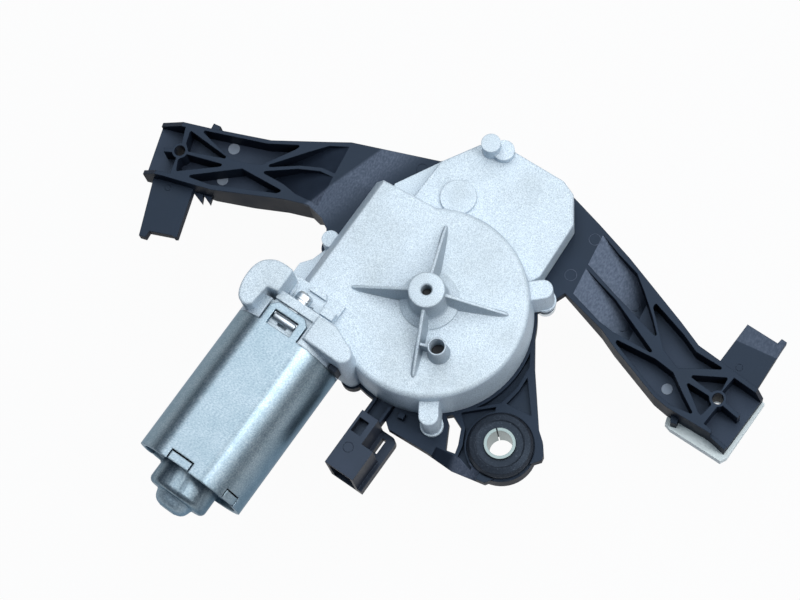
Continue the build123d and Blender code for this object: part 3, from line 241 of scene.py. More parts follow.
# ================================================================ materials
COOL = (0.55, 0.74, 1.0)                    # tint of the sheen on the black mouldings
STEEL_EDGE = (0.50, 0.60, 0.68)             # tint of the plated steel seen edge-on
GRAIN_TURN = (0, 0, radians(-81.7))         # turns the steel's grain along the motor
PLATE_TOP = 0.0185                          # highest level of the arms' floors, metres
RIGHT_RAMP = (0.020, 0.024, 0.046, 0.062)   # X where the right arm's sloped floors begin and end
RIGHT_RAMP_Z = (0.0165, 0.019)
TAB_END = (0.095, -0.0083)                  # corner in X and Y of the paler end of the right tab
LEFT_CREST = (-0.0614, -0.0008, 0.026)      # a point on the line between left arm's floor and plate
CREST_WAY = (0.89, -0.455, 0.0)             # direction square to that line


def die_casting(name, flank):
    """Shot-blasted aluminium: pale, matt, with a fine sparkle; faces that do not face up get painted
    shade, `flank` times as light as the rest.
    """
    s = Shader(name, metallic=0.2, roughness=0.5)
    grain = s.noise(0.33 * MM, 3)
    cloud = s.noise(18 * MM, 3)
    shades = (linear(162, 177, 188), linear(199, 213, 223), linear(228, 239, 246))
    pale = s.ramp(grain, list(zip((0.32, 0.5, 0.68), shades)))
    stain = s.ramp(cloud, [(0.32, (0.88, 0.88, 0.87)), (0.58, (1.0, 1.0, 1.0))])
    # painted shade: faces that do not face up are darkened by the flank share
    upright = s.smooth(s.part_of("Normal", "Z"), 0.85, 0.35)
    shade = (flank * 0.97, flank, flank * 1.04)
    s.colour(s.mix(s.mix(pale, stain, 1.0, "MULTIPLY"), shade, upright, "MULTIPLY"))
    s.rough(s.spread(grain, 0.46, 0.66))
    s.bump(grain, 0.05 * MM, 0.6 * MM)
    return s.material


def zinc_plating(name, light, streaks=0.0, rough=0.33):
    """Zinc-plated drawn steel: blue-grey, satin, mottled; `streaks` draws it out round the motor; `light`
    scales the whole brightness, which gives painted lit and shaded copies, and faces that do not face up
    get painted shade.
    """
    s = Shader(name, metallic=0.85, roughness=rough, tint=STEEL_EDGE)
    mottle = s.noise(0.5 * MM, 3, (GRAIN_TURN, (0.6, 1.0, 1.0)))
    patch = s.noise(6 * MM, 2)
    # the brightness is scaled by `light`: above 1 a copy with painted light, below 1 a copy with painted
    # shade
    shades = [tuple(light * c for c in shade)
              for shade in (linear(118, 134, 146), linear(141, 157, 167), linear(164, 178, 186))]
    tone = s.ramp(mottle, list(zip((0.3, 0.5, 0.7), shades)))
    wide = s.ramp(patch, [(0.35, (0.88, 0.91, 0.92)), (0.65, (1.0, 1.0, 1.0))])
    colour = s.mix(tone, wide, 1.0, "MULTIPLY")
    if streaks:
        drawn = s.noise(1.1 * MM, 4, (GRAIN_TURN, (1.0, 0.06, 0.06)))
        lines = s.ramp(drawn, [(0.4, (0.62, 0.66, 0.7)), (0.56, (1.1, 1.1, 1.1))])
        colour = s.mix(colour, lines, streaks, "MULTIPLY")
    # painted shade: faces that do not face up are darkened, towards blue
    side = s.smooth(s.part_of("Normal", "Z"), 0.62, 0.15)
    s.colour(s.mix(colour, (0.56, 0.66, 0.75), side, "MULTIPLY"))
    s.rough(s.spread(mottle, rough * 0.85, rough * 1.15))
    s.bump(mottle, 0.015 * MM, 0.8 * MM)
    return s.material


def plated(name, colour, roughness):
    """Bare or plated metal with a fine speck in its colour."""
    s = Shader(name, metallic=1.0, roughness=roughness)
    speck = s.noise(0.5 * MM, 2)
    dark = tuple(0.78 * c for c in colour)
    s.colour(s.ramp(speck, [(0.35, dark), (0.65, colour)]))
    s.rough(s.spread(speck, roughness * 0.85, roughness * 1.2))
    s.bump(speck, 0.012 * MM, 0.2 * MM)
    return s.material


def filled_nylon(name, colour, gloss):
    """Glass-filled nylon: charcoal with a fine moulded grain and faint flow marks."""
    s = Shader(name, roughness=gloss, specular=0.36, tint=COOL)
    grain = s.noise(0.5 * MM, 2)
    flow = s.noise(14 * MM, 3)
    dark = tuple(0.72 * c for c in colour)
    light = tuple(1.35 * c for c in colour)
    s.colour(s.ramp(flow, [(0.32, dark), (0.5, colour), (0.72, light)]))
    s.sheen(0.03, 0.36)
    s.rough(s.spread(flow, gloss * 0.85, gloss * 1.2))
    s.bump(grain, 0.02 * MM, 0.35 * MM)
    return s.material


def bracket_nylon():
    """The bracket's nylon, with painted light: paler on the right arm's slopes and a little paler on the
    arms' up-facing floors, a painted sheen along the left arm's crest, and paler at a tab's end.
    """
    s = Shader("bracket_nylon", roughness=0.42, specular=0.34, tint=COOL)
    x, y, z = (s.part_of("Position", axis) for axis in "XYZ")
    tilt = s.part_of("Normal", "Z")
    fine = s.noise(0.45 * MM, 2)
    flow = s.noise(16 * MM, 3)
    pale_streaks = s.noise(0.7 * MM, 4, ((0, 0, 0.6), (1.0, 0.6, 1.0)))
    blacks = (linear(18, 24, 35), linear(23, 30, 42), linear(31, 39, 52))
    # pale streaky greys, used below for painted light and a painted sheen, and for the paler tab end
    greys = (linear(62, 70, 84), linear(78, 86, 101), linear(94, 102, 118))
    plain = s.ramp(flow, list(zip((0.32, 0.5, 0.72), blacks)))
    grain = s.ramp(pale_streaks, list(zip((0.3, 0.52, 0.72), greys)))

    # painted light: the right arm's sloped floors, which face the light, are made paler
    sloped = s.times(s.smooth(tilt, 0.60, 0.70), s.smooth(tilt, 0.985, 0.96))
    near, begun, fading, gone = RIGHT_RAMP
    right_root = s.times(s.smooth(x, near, begun), s.smooth(x, gone, fading))
    ramp = s.times(s.times(sloped, right_root), s.smooth(z, *RIGHT_RAMP_Z))

    tab_x, tab_y = TAB_END
    tab_end = s.times(s.smooth(x, tab_x, tab_x + 0.5 * MM), s.smooth(y, tab_y, tab_y + 0.5 * MM))

    # painted sheen: a pale band along the left arm's crest
    crest = s.along(LEFT_CREST, CREST_WAY)
    crest = s.times(s.smooth(crest, -0.5 * MM, 1 * MM), s.smooth(crest, 16 * MM, 5 * MM))
    crest = s.times(s.times(crest, s.smooth(x, -0.030, -0.034)), s.smooth(z, 0.0225, 0.0245))

    # painted light: the arms' floors that face up are made a little paler
    deck = s.times(s.smooth(z, PLATE_TOP, PLATE_TOP - 0.7 * MM), s.smooth(tilt, 0.97, 0.99))
    colour = s.mix(plain, linear(42, 49, 63), s.times(deck, 0.7))
    colour = s.mix(colour, grain, ramp)
    colour = s.mix(colour, grain, s.times(crest, 0.75))
    s.colour(s.mix(colour, grain, s.times(tab_end, 0.55)))
    s.sheen(0.03, 0.34)
    s.rough(s.spread(flow, 0.38, 0.52))
    s.bump(fine, 0.02 * MM, 0.35 * MM)
    return s.material


def rubber():
    """Matt rubber with a dusty bloom."""
    s = Shader("black_rubber", roughness=0.5, specular=0.4, tint=COOL)
    dust = s.noise(0.5 * MM, 3)
    shades = (linear(26, 29, 35), linear(36, 40, 47), linear(84, 90, 98))
    s.colour(s.ramp(dust, list(zip((0.42, 0.64, 0.76), shades))))
    s.bump(dust, 0.02 * MM, 0.5 * MM)
    return s.material


def plastic(name, colour, roughness):
    """Plain moulded plastic with a slight unevenness."""
    s = Shader(name, roughness=roughness)
    speck = s.noise(2.0 * MM, 3)
    dark = tuple(0.9 * c for c in colour)
    s.colour(s.ramp(speck, [(0.3, dark), (0.7, colour)]))
    s.rough(s.spread(speck, roughness * 0.9, roughness * 1.15))
    s.bump(speck, 0.02 * MM, 0.3 * MM)
    return s.material


def materials():
    """Every slot's material, and the looks that some of the scene's own pieces take instead."""
    return {
        "die_casting": die_casting("die_casting", 0.9),
        # the hub's copy of the casting, with darker painted shade on faces that do not face up
        "hub_casting_painted_shade": die_casting("hub_casting_painted_shade", 0.6),
        "zinc_plate": zinc_plating("zinc_plate", 1.0),
        # the cup's copy: drawn streaks, and darker as painted shade
        "cap_plate_painted_shade": zinc_plating("cap_plate_painted_shade", 0.8, 0.7),
        # the nose's copy: lighter as painted light, and rougher
        "nose_plate_painted_light": zinc_plating("nose_plate_painted_light", 1.35, 0.0, 0.55),
        "bright_zinc": plated("bright_zinc", linear(206, 214, 220), 0.36),
        "filled_nylon": bracket_nylon(),
        "connector_nylon": filled_nylon("connector_nylon", linear(38, 43, 54), 0.36),
        "ejector_face": filled_nylon("ejector_face", linear(118, 127, 139), 0.4),
        "black_rubber": rubber(),
        "yellow_zinc": plated("yellow_zinc", linear(132, 146, 146), 0.34),
        "white_nylon": plastic("white_nylon", linear(214, 226, 228), 0.42),
        "gear_nylon": plastic("gear_nylon", linear(226, 222, 208), 0.4),
        "ground_steel": plated("ground_steel", linear(176, 181, 186), 0.24),
        "sintered_steel": plated("sintered_steel", linear(134, 138, 142), 0.45),
        "sintered_bronze": plated("sintered_bronze", linear(176, 140, 92), 0.4),
        "contact_brass": plated("contact_brass", linear(206, 176, 104), 0.28),
        "tinned_brass": plated("tinned_brass", linear(196, 195, 190), 0.3),
        "copper": plated("copper", linear(188, 112, 72), 0.3),
        "ferrite": plated("ferrite", linear(72, 74, 78), 0.55),
        "laminations": plated("laminations", linear(120, 122, 126), 0.45),
        "brush_card": plastic("brush_card", linear(84, 62, 44), 0.5),
        "carbon": plastic("carbon", linear(48, 48, 50), 0.6),
    }


def dress():
    """Every CAD node gets the material of its slot."""
    for part in frame["record"]["subparts"]:
        mesh = NODES[part["node"]].data
        mesh.materials.clear()
        mesh.materials.append(MADE[part["material_slot"]])


# ================================================================ stage
FLOOR_GLOW = 0.96             # how much of the floor's look is its own white
STAGE_MIDDLE = Vector((-0.02, -0.06, 0.03))


def seen(nodes, links, share):
    """`share` where the camera, a reflection or a view through glass meets the surface, else 0."""
    path = nodes.new("ShaderNodeLightPath")
    total = path.outputs["Is Camera Ray"]
    for ray in ("Is Glossy Ray", "Is Transmission Ray"):
        add = nodes.new("ShaderNodeMath")
        add.operation = "MAXIMUM"
        links.new(total, add.inputs[0])
        links.new(path.outputs[ray], add.inputs[1])
        total = add.outputs["Value"]
    scale = nodes.new("ShaderNodeMath")
    scale.operation = "MULTIPLY"
    links.new(total, scale.inputs[0])
    scale.inputs[1].default_value = share
    return scale.outputs["Value"]


def floor():
    """Pale grey floor under the part, which looks nearly white and keeps the part's shadow."""
    bpy.ops.mesh.primitive_plane_add(size=8.0, location=(0, 0, FLOOR_Z - 0.2 * MM))
    plane = bpy.context.object
    plane.name = "floor"
    material = bpy.data.materials.new("floor")
    material.use_nodes = True
    nodes, links = material.node_tree.nodes, material.node_tree.links
    bsdf = nodes["Principled BSDF"]
    bsdf.inputs["Base Color"].default_value = (0.34, 0.37, 0.42, 1)
    bsdf.inputs["Roughness"].default_value = 0.9
    glow = nodes.new("ShaderNodeEmission")
    glow.inputs["Color"].default_value = (1, 1, 1, 1)
    blend = nodes.new("ShaderNodeMixShader")
    links.new(seen(nodes, links, FLOOR_GLOW), blend.inputs["Fac"])
    links.new(bsdf.outputs["BSDF"], blend.inputs[1])
    links.new(glow.outputs["Emission"], blend.inputs[2])
    links.new(blend.outputs["Shader"], nodes["Material Output"].inputs["Surface"])
    plane.data.materials.append(material)


def world():
    """Studio walls: dark round the horizon, pale overhead."""
    space = bpy.data.worlds.new("studio")
    bpy.context.scene.world = space
    space.use_nodes = True
    nodes, links = space.node_tree.nodes, space.node_tree.links
    place = nodes.new("ShaderNodeTexCoord")
    split = nodes.new("ShaderNodeSeparateXYZ")
    links.new(place.outputs["Generated"], split.inputs["Vector"])
    ramp = nodes.new("ShaderNodeValToRGB")
    stops = ((0.0, (0.05, 0.06, 0.08)), (0.3, (0.06, 0.08, 0.11)), (0.75, (0.22, 0.26, 0.31)),
             (1.0, (0.40, 0.44, 0.48)))
    while len(ramp.color_ramp.elements) < len(stops):
        ramp.color_ramp.elements.new(0.5)
    for element, (at, colour) in zip(ramp.color_ramp.elements, stops):
        element.position = at
        element.color = (*colour, 1.0)
    links.new(split.outputs["Z"], ramp.inputs["Fac"])
    links.new(ramp.outputs["Color"], nodes["Background"].inputs["Color"])
    nodes["Background"].inputs["Strength"].default_value = 1.0


def lamp(name, direction, distance, size, glow, colour=(1, 1, 1)):
    """Rectangular soft light that faces the part from `direction`; its face shines at `glow`."""
    data = bpy.data.lights.new(name, "AREA")
    data.shape = "RECTANGLE"
    data.size, data.size_y = size
    data.energy = 4 * size[0] * size[1] * glow
    data.color = colour
    obj = bpy.data.objects.new(name, data)
    bpy.context.collection.objects.link(obj)
    way = Vector(direction).normalized()
    obj.location = STAGE_MIDDLE + way * distance
    obj.rotation_euler = way.to_track_quat("Z", "Y").to_euler()


def lights():
    """A wide light overhead, and a strong strip from the right that draws the can's highlight."""
    lamp("overhead", (-0.16, 0.36, 0.92), 1.3, (1.35, 1.35), 1.8, (0.98, 0.99, 1.0))
    lamp("right", (0.68, 0.09, 0.73), 1.2, (0.34, 0.95), 6.5)


def camera():
    """The photograph's view."""
    data = bpy.data.cameras.new("camera")
    data.lens = LENS
    data.sensor_width = 36.0
    data.clip_start = 0.01
    obj = bpy.data.objects.new("camera", data)
    bpy.context.collection.objects.link(obj)
    up = CAMERA_RIGHT.cross(CAMERA_FORWARD)
    turn = Matrix((CAMERA_RIGHT, up, -CAMERA_FORWARD)).transposed()
    obj.matrix_world = Matrix.Translation(CAMERA_AT) @ turn.to_4x4()
    bpy.context.scene.camera = obj


# ================================================================ mesh helpers
def loose(name, work):
    """Turns the working mesh into an object."""
    bmesh.ops.recalc_face_normals(work, faces=work.faces)
    mesh = bpy.data.meshes.new(name)
    work.to_mesh(mesh)
    work.free()
    obj = bpy.data.objects.new(name, mesh)
    bpy.context.collection.objects.link(obj)
    return obj


def finish_piece(name, work, slot, look=None, sharp=32):
    """Makes the mesh a piece of the fixed body; edges that turn more than `sharp` degrees stay crisp."""
    bmesh.ops.recalc_face_normals(work, faces=work.faces)
    for edge in work.edges:
        edge.smooth = len(edge.link_faces) == 2 and edge.calc_face_angle(pi) < radians(sharp)
    for side in work.faces:
        side.smooth = True
    obj = loose(name, work)
    obj.data.materials.append(MADE[look or slot])
    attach(obj, "root")
    return obj


def lathe(work, profile, place, segments=48):
    """Turns (radius, height) points, in millimetres, round the axis of `place` into a closed form."""
    turns = [2 * pi * i / segments for i in range(segments)]
    rings = []
    for radius, height in profile:
        if radius == 0:
            rings.append([work.verts.new(place @ Vector((0, 0, height * MM)))])
            continue
        points = [Vector((radius * cos(turn), radius * sin(turn), height)) for turn in turns]
        rings.append([work.verts.new(place @ (point * MM)) for point in points])
    for low, high in zip(rings, rings[1:]):
        for i in range(segments):
            j = (i + 1) % segments
            corners = [low[i % len(low)], low[j % len(low)], high[j % len(high)], high[i % len(high)]]
            unique = list(dict.fromkeys(corners))
            if len(unique) > 2:
                work.faces.new(unique)


def loft(work, sections):
    """Skin through closed sections with as many points each, with a cap on both ends."""
    rings = [[work.verts.new(point) for point in section] for section in sections]
    for low, high in zip(rings, rings[1:]):
        for i in range(len(low)):
            j = (i + 1) % len(low)
            work.faces.new((low[i], low[j], high[j], high[i]))
    work.faces.new(rings[0][::-1])
    work.faces.new(rings[-1])


def box_between(work, low, high, place):
    """Box between two corners, in millimetres in the frame of `place`."""
    (x0, y0, z0), (x1, y1, z1) = low, high
    loft(work, [[place @ (Vector((x, y, z)) * MM) for x, y in ((x0, y0), (x1, y0), (x1, y1), (x0, y1))]
                for z in (z0, z1)])


def arc(centre, radius, start, end, steps):
    """Points of an arc in a profile; angles in degrees from the radius axis."""
    turns = [radians(start + (end - start) * i / steps) for i in range(steps + 1)]
    return [(centre[0] + radius * cos(turn), centre[1] + radius * sin(turn)) for turn in turns]


def welded(node):
    """Working copy of a CAD node's mesh with its seams joined and its flats made whole."""
    work = bmesh.new()
    work.from_mesh(NODES[node].data)
    bmesh.ops.remove_doubles(work, verts=work.verts, dist=0.001 * MM)
    for layer in list(work.loops.layers.float_vector.values()):
        work.loops.layers.float_vector.remove(layer)
    return work


def carved(node, *cuts):
    """Copy of a CAD node's mesh with the given forms cut out of it."""
    body = loose(node + "_copy", welded(node))
    tools = [loose("cut", cut) for cut in cuts]
    for tool in tools:
        cut = body.modifiers.new("cut", "BOOLEAN")
        cut.operation = "DIFFERENCE"
        cut.solver = "EXACT"
        cut.use_self = False
        cut.object = tool
    bpy.context.view_layer.update()
    scene_now = bpy.context.evaluated_depsgraph_get()
    done = bpy.data.meshes.new_from_object(body.evaluated_get(scene_now))
    work = bmesh.new()
    work.from_mesh(done)
    for spare in (body, *tools):
        bpy.data.objects.remove(spare)
    bpy.data.meshes.remove(done)
    return work


def between(pair, share):
    """The value that lies `share` of the way from the first of the pair to the second."""
    return pair[0] + (pair[1] - pair[0]) * share


def level_at(node, x, y):
    """Height of the node's uppermost face over the plan point, in metres."""
    above = Vector((x * MM, y * MM, CAD_BOX[1][2] + MM))
    hit, where, _, _ = NODES[node].ray_cast(above, -UP)
    if not hit:
        raise ValueError(f"{node} has nothing under ({x}, {y})")
    return where.z


# ================================================================ the motor's pieces
CAN_R = 22.75
CAN_FLAT = 20.5                # half the distance between the can's two flats
CAN_CORNER = 9.9               # the plain can's flats end here, across the motor
CAN_BLEND = 9.5                # radius between the can's flats and its round sides
BLEND_STEPS = 9
BLEND_MIDDLE = sqrt((CAN_R - CAN_BLEND) ** 2 - (CAN_FLAT - CAN_BLEND) ** 2)
BLEND_END = BLEND_MIDDLE / (CAN_R - CAN_BLEND) * CAN_R
SKIN = 0.25                    # only points this near the can's outside are moved
GAP_S = (101.1, 107.0)         # the gaps round the crimped tabs, along the motor
FLAT_TAB_T = (-6.3, 3.9)       # gap across the two tabs on the flats
ROUND_TAB_HALF = 4.1
ROUND_TAB_TURNS = (28, 208)
INSIDE, OUTSIDE = 10, 30       # where the cutting forms begin and end, clear of the can's wall


def can_height(t):
    """Half height of the can at t millimetres from its middle plane, with flats blended into the sides."""
    t = abs(t)
    if t < BLEND_MIDDLE:
        return CAN_FLAT
    if t < BLEND_END:
        return CAN_FLAT - CAN_BLEND + sqrt(CAN_BLEND ** 2 - (t - BLEND_MIDDLE) ** 2)
    return sqrt(max(CAN_R ** 2 - t ** 2, 0))


def can():
    """The drawn can: its flats run into the round sides without a crease."""
    gaps = bmesh.new()
    start, end = GAP_S
    box_between(gaps, (FLAT_TAB_T[0], -OUTSIDE, start), (FLAT_TAB_T[1], OUTSIDE, end), MOTOR)
    for turn in ROUND_TAB_TURNS:
        box_between(gaps, (INSIDE, -ROUND_TAB_HALF, start), (OUTSIDE, ROUND_TAB_HALF, end),
                    MOTOR @ Matrix.Rotation(radians(turn), 4, "Z"))
    work = carved("motor_can", gaps)
    for side in (-1, 1):
        for i in range(BLEND_STEPS + 1):
            t = side * between((BLEND_MIDDLE, BLEND_END), i / BLEND_STEPS)
            everything = work.verts[:] + work.edges[:] + work.faces[:]
            bmesh.ops.bisect_plane(work, geom=everything, plane_co=MOTOR @ Vector((t * MM, 0, 0)),
                                   plane_no=ACROSS, dist=0.001 * MM)
    inverse = MOTOR.inverted()
    for vert in work.verts:
        t, y, s = inverse @ vert.co / MM
        plain_height = CAN_FLAT if abs(t) < CAN_CORNER else sqrt(max(CAN_R ** 2 - t ** 2, 0))
        if BLEND_MIDDLE < abs(t) < BLEND_END and abs(y) > plain_height - SKIN:
            height = can_height(t) * (1 if y > 0 else -1)
            vert.co = MOTOR @ (Vector((t, height, s)) * MM)
    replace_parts(finish_piece("can_shell", work, "zinc_plate"), "motor_can")


BAR_AT = (18.75, 38.75)        # the anchors' cross bars: height over the axis and place along it
BAR_HALF = (1.35, 1.6)         # half their thickness and half their width
BAR_ENDS = ((-6.1, 0.55), (-5.9, 0.85), (-5.5, 1.0), (3.5, 1.0), (3.9, 0.85), (4.1, 0.55))


def clip_bars():
    """Rounded cross bars of the two anchors, bright in the can's windows."""
    work = bmesh.new()
    circle = arc((0, 0), 1.0, 0, 360, 16)[:-1]
    for turn in (0, pi):
        place = MOTOR @ Matrix.Rotation(turn, 4, "Z")
        sections = []
        for t, share in BAR_ENDS:
            high, wide = (share * half for half in BAR_HALF)
            sections.append([place @ (Vector((t, BAR_AT[0] + high * y, BAR_AT[1] + wide * x)) * MM)
                             for x, y in circle])
        loft(work, sections)
    finish_piece("clip_bars", work, "bright_zinc", sharp=50)


CUP_R = 12.4
CUP_START = 103.0
CUP_END = 114.45
CUP_ROUND = 2.2                # radius of the cup's rim


def end_cap():
    """Smooth skins over the bearing cup and its nose at the can's end."""
    rim = CUP_END - 0.05 - CUP_ROUND
    # the wall's last point and the arc's first are the same, which keeps a crease between them
    profile = [(CUP_R, CUP_START), (CUP_R, rim)] + arc((CUP_R - CUP_ROUND, rim), CUP_ROUND, 0, 90, 6)
    profile.append((7.0, CUP_END))
    cup = bmesh.new()
    lathe(cup, profile, MOTOR, 72)
    finish_piece("end_cap_skin", cup, "zinc_plate", "cap_plate_painted_shade")
    dome = [(8.3, 114.3), (7.8, 114.75), (7.45, 115.4), (7.2, 116.3), (6.8, 117.2), (6.2, 118.0),
            (5.4, 118.65), (4.3, 119.1), (3.0, 119.33), (0, 119.4)]
    nose = bmesh.new()
    lathe(nose, dome, MOTOR, 72)
    finish_piece("nose_skin", nose, "zinc_plate", "nose_plate_painted_light", sharp=50)


# ================================================================ the casting
ROOF = 47.0                    # level of the round lid
HUB_TOP = 61.4
HUB_CUT_R = 31.6               # the hub, ribs and drain tube inside this radius are made anew
HUB_HOLE_R = 2.0
RIB_START = 5.0
RIB_REACH = 30.3
RIB_FIRST = 15                 # direction of the first rib, degrees
RIB_STATIONS = 22
RIB_TIP = 1.3                  # length of a rib's rounded tip
RIB_FULL = 6.5                 # the rib's height and widths change from here to its reach
RIB_CREST = (HUB_TOP - 2.4, ROOF + 0.7)
RIB_FOOT = (2.1, 1.5)          # half width at the roof
RIB_EDGE = (0.7, 0.55)         # half width under the crest
RIB_HOLLOW = 1.7               # how strongly the flanks curve in
FLANK_STEPS = 4
CREST_ROUND = 0.45
TUBE = (2.6, -67.6)
TUBE_TOP = 56.5
WEB_START = 18.3               # from the wheel's axis
WEB_END = 3.2                  # before the tube's axis
WEB_TOPS = (52.0, 53.0)
WEB_FOOT = 0.9                 # half width at the roof
WEB_EDGE = 0.55
SUNK = 0.3                     # the new forms reach this deep into the roof


def rib_section(r):
    """Points (sideways, level) round one rib at r millimetres from the wheel's axis."""
    share = (r - RIB_FULL) / (RIB_REACH - RIB_FULL)
    tip = max(0.0, (r - RIB_REACH + RIB_TIP) / (RIB_TIP + 0.01))
    blunt = sqrt(1 - tip ** 2)
    foot = between(RIB_FOOT, share) * blunt
    edge = between(RIB_EDGE, share) * blunt
    top = between((ROOF, between(RIB_CREST, share) - CREST_ROUND), blunt)
    half = []
    for k in range(FLANK_STEPS + 1):
        up = k / FLANK_STEPS
        half.append((between((edge, foot), (1 - up) ** RIB_HOLLOW), between((ROOF - SUNK, top), up)))
    rise = CREST_ROUND * blunt
    for angle in (radians(30), radians(60)):
        half.append((edge * cos(angle), top + rise * sin(angle)))
    return half + [(0, top + rise)] + [(-w, h) for w, h in half[::-1]]


def rib(work, angle):
    """One tapering fin of the hub: concave flanks, a rounded crest and a rounded tip."""
    place = AT_WHEEL @ Matrix.Rotation(radians(angle), 4, "Z")
    sections = []
    for i in range(RIB_STATIONS + 1):
        r = between((RIB_REACH, RIB_START), (1 - i / RIB_STATIONS) ** 1.5)
        sections.append([place @ (Vector((r, w, h)) * MM) for w, h in rib_section(r)])
    loft(work, sections)


def boss(work):
    """Axle boss with its hole and its spreading foot."""
    bottom = HUB_TOP - 13
    profile = [(0, bottom), (HUB_HOLE_R, bottom), (HUB_HOLE_R, HUB_TOP - 0.5)]
    profile += [(HUB_HOLE_R + 0.45, HUB_TOP), (6.3, HUB_TOP)]
    profile += arc((6.2, HUB_TOP - 0.75), 0.75, 90, 0, 4)[1:]
    profile += [(7.3, ROOF + 5), (7.7, ROOF + 3.4), (8.6, ROOF + 2.2), (11.0, ROOF + 0.9)]
    profile += [(11.35, ROOF + 0.6), (11.4, ROOF - 0.4), (0, ROOF - 0.4)]
    lathe(work, profile, AT_WHEEL, 64)


def drain_tube(work):
    """Drain tube, and the web that joins it to the nearest rib."""
    place = Matrix.Translation((TUBE[0] * MM, TUBE[1] * MM, 0))
    profile = [(0, ROOF + 0.6), (2.75, ROOF + 0.6), (2.8, TUBE_TOP - 0.3), (3.0, TUBE_TOP)]
    profile += [(3.3, TUBE_TOP), (3.55, TUBE_TOP - 0.3), (3.85, ROOF + 1.4)]
    profile += [(4.5, ROOF - SUNK), (0, ROOF - SUNK)]
    lathe(work, profile, place, 40)
    last = radians(RIB_FIRST + 270)
    start = AT_WHEEL @ (Vector((cos(last), sin(last), 0)) * WEB_START * MM)
    way = place.translation - start
    along_web = Matrix.Translation(start) @ Matrix.Rotation(atan2(way.y, way.x), 4, "Z")
    sections = []
    for x, top in zip((0, way.length / MM - WEB_END), WEB_TOPS):
        outline = ((-WEB_FOOT, ROOF - SUNK), (WEB_FOOT, ROOF - SUNK), (WEB_EDGE, top), (-WEB_EDGE, top))
        sections.append([along_web @ (Vector((x, w, z)) * MM) for w, z in outline])
    loft(work, sections)


def hub():
    """Boss, four ribs and drain tube as one piece."""
    work = bmesh.new()
    boss(work)
    for i in range(4):
        rib(work, RIB_FIRST + 90 * i)
    drain_tube(work)
    # the hub takes the casting's copy with darker painted shade
    finish_piece("hub_and_ribs", work, "die_casting", "hub_casting_painted_shade", sharp=40)


# painted shade: dark discs set deep in the holes
# X, Y, radius and top
DARK_DISCS = ((WHEEL.x / MM, WHEEL.y / MM, 1.95, HUB_TOP - 5), (*TUBE, 2.7, ROOF + 2.2))
DISC_T = 1.2


def shade_discs():
    """Dark discs deep in the hub's hole and in the drain tube, painted shade at the bottom of each hole.
    """
    work = bmesh.new()
    for x, y, radius, top in DARK_DISCS:
        profile = [(0, top), (radius - 0.3, top), (radius, top - 0.2)]
        profile += [(radius, top - DISC_T), (0, top - DISC_T)]
        lathe(work, profile, Matrix.Translation((x * MM, y * MM, 0)), 32)
    finish_piece("painted_shade_in_holes", work, "carbon")


# the motor flange's left lobe: (along, across) the motor
LOBE_LINE = ((21.6, -8.5), (21.4, -12.6), (21.9, -17.2), (26.0, -22.1), (34.0, -22.8), (41.0, -20.7),
             (43.0, -16.3), (40.7, -13.9))
LOBE_MIDDLE = (31.5, -15.5)
LOBE_S = (20.5, 43.5)
LOBE_T = -10.5
LOBE_FOOT = 51.0               # level above which the lobe is bent
LOBE_SWELL = 1.012             # makes up for what rounding takes off
LOBE_CUTS = 18                 # cuts through the lobe's middle, which give it points to bend


def in_lobe(local):
    """Whether a place in the motor's frame belongs to the lobe."""
    t, y, s = local
    return t < LOBE_T and LOBE_S[0] < s < LOBE_S[1] and y > LOBE_FOOT - MOTOR_Z


def rounded(line, passes=3):
    """Open outline with its corners cut off again and again, which rounds it."""
    for _ in range(passes):
        cut = [line[0]]
        for a, b in zip(line, line[1:]):
            cut.append(tuple(0.75 * p + 0.25 * q for p, q in zip(a, b)))
            cut.append(tuple(0.25 * p + 0.75 * q for p, q in zip(a, b)))
        line = cut + [line[-1]]
    return line


def reach(line, s, t):
    """Distance from the lobe's middle to the outline, the way that (s, t) lies."""
    ds, dt = s - LOBE_MIDDLE[0], t - LOBE_MIDDLE[1]
    for a, b in zip(line, line[1:]):
        es, et = b[0] - a[0], b[1] - a[1]
        det = ds * -et + es * dt
        if abs(det) < 1e-9:
            continue
        fs, ft = a[0] - LOBE_MIDDLE[0], a[1] - LOBE_MIDDLE[1]
        far = (fs * -et + es * ft) / det
        along = (ds * ft - dt * fs) / det
        if far > 0 and -1e-6 <= along <= 1 + 1e-6:
            return far * sqrt(ds * ds + dt * dt)
    return None


def round_the_lobe(work):
    """Bends the motor flange's left lobe from straight facets to one round outline."""
    inverse = MOTOR.inverted()
    s0, t0 = LOBE_MIDDLE
    middle = MOTOR @ (Vector((t0, 0, s0)) * MM)
    for i in range(LOBE_CUTS):
        angle = pi * i / LOBE_CUTS
        near = [f for f in work.faces if in_lobe(inverse @ f.calc_center_median() / MM)]
        edges = {e for f in near for e in f.edges}
        verts = {v for f in near for v in f.verts}
        across = MOTOR.to_3x3() @ Vector((cos(angle), 0, sin(angle)))
        bmesh.ops.bisect_plane(work, geom=list(verts) + list(edges) + near, plane_co=middle,
                               plane_no=across, dist=0.001 * MM)
    round_line = rounded(LOBE_LINE)
    for vert in work.verts:
        local = inverse @ vert.co / MM
        if not in_lobe(local):
            continue
        t, y, s = local
        old, new = reach(LOBE_LINE, s, t), reach(round_line, s, t)
        if old and new:
            k = new * LOBE_SWELL / old
            vert.co = MOTOR @ (Vector((t0 + (t - t0) * k, y, s0 + (s - s0) * k)) * MM)


# the corner beside the wheel's disc that is cut down to the roof
CORNER_T = (12.3, 26.0)
CORNER_S = (18.0, 31.4)
CORNER_TOP = 16.0              # above the motor's axis


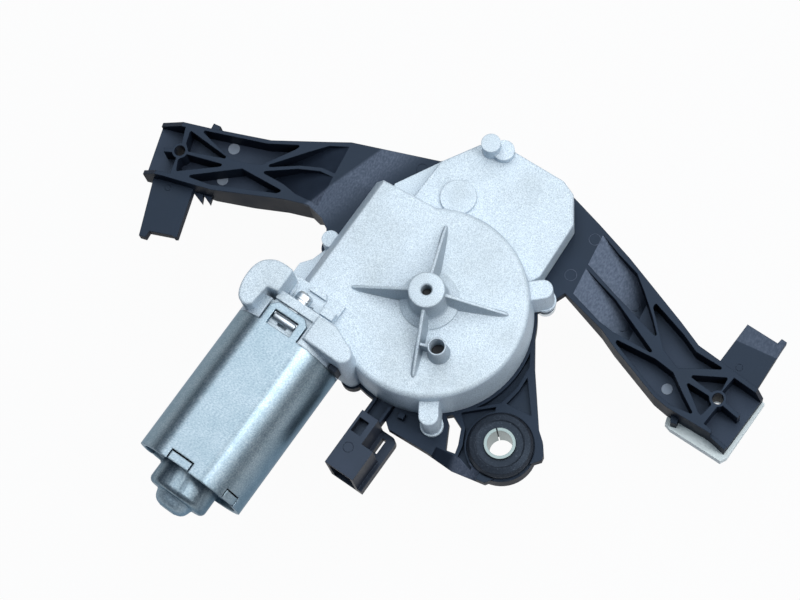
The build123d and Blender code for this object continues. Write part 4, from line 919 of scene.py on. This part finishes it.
def casting():
    """The gear housing without its plain hub and the high corner beside the wheel, its lobe made round."""
    floor_level = ROOF + 0.03
    round_cut = bmesh.new()
    cut_top = HUB_TOP + 3
    lathe(round_cut, [(0, floor_level), (HUB_CUT_R, floor_level), (HUB_CUT_R, cut_top), (0, cut_top)],
          AT_WHEEL, 96)
    corner_cut = bmesh.new()
    low = (CORNER_T[0], floor_level - MOTOR_Z, CORNER_S[0])
    high = (CORNER_T[1], CORNER_TOP, CORNER_S[1])
    box_between(corner_cut, low, high, MOTOR)
    work = carved("gear_housing", round_cut, corner_cut)
    round_the_lobe(work)
    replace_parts(finish_piece("casting", work, "die_casting", sharp=28), "gear_housing")


# ================================================================ small marks
# places of the ejector pins' marks: X, Y and radius in millimetres
PALE_DISCS = ((-116.4, -21.1, 2.4), (-114.3, -34.7, 2.3), (81.4, -36.1, 2.2))
DARK_RINGS = ((-131.8, -47.6, 1.4), (102.5, -17.3, 1.5), (56.2, -11.8, 2.2), (55.4, -21.3, 2.2),
              (29.9, -13.3, 2.4), (32.0, 3.6, 2.4), (-41.6, 0.8, 2.4))
CONNECTOR_RING = (-14.2, -112.1, 2.1)


def button(work, place, node, proud, ring=0.0):
    """Ejector pin's mark: a flat disc, or a ring `ring` wide, that stands `proud` of the node's face."""
    x, y, radius = place
    z = level_at(node, x, y) / MM
    foot = z - SUNK
    outside = [(radius - 0.12, z + proud), (radius, z + proud - 0.1), (radius, foot)]
    if ring:
        inner = radius - ring
        profile = [(inner, foot), (inner, z + proud - 0.05)] + outside + [(inner, foot)]
    else:
        profile = [(0, z + proud)] + outside + [(0, foot)]
    lathe(work, profile, Matrix.Translation((x * MM, y * MM, 0)), 32)


def ejector_marks():
    """Pale discs and faint rings where the mould's ejector pins pressed."""
    pale = bmesh.new()
    for place in PALE_DISCS:
        button(pale, place, "mounting_bracket", 0.12)
    finish_piece("ejector_marks_pale", pale, "filled_nylon", "ejector_face")
    dark = bmesh.new()
    for place in DARK_RINGS:
        button(dark, place, "mounting_bracket", 0.08, 0.25)
    finish_piece("ejector_rings", dark, "filled_nylon")
    plug = bmesh.new()
    button(plug, CONNECTOR_RING, "connector_shell", 0.1, 0.3)
    finish_piece("connector_ring", plug, "connector_nylon")


def plain(box):
    return [list(map(float, corner)) for corner in box]


MADE = materials()
dress()
can()
end_cap()
casting()
hub()
shade_discs()
clip_bars()
ejector_marks()
floor()
world()
lights()
camera()
bpy.context.scene.view_settings.view_transform = "Standard"
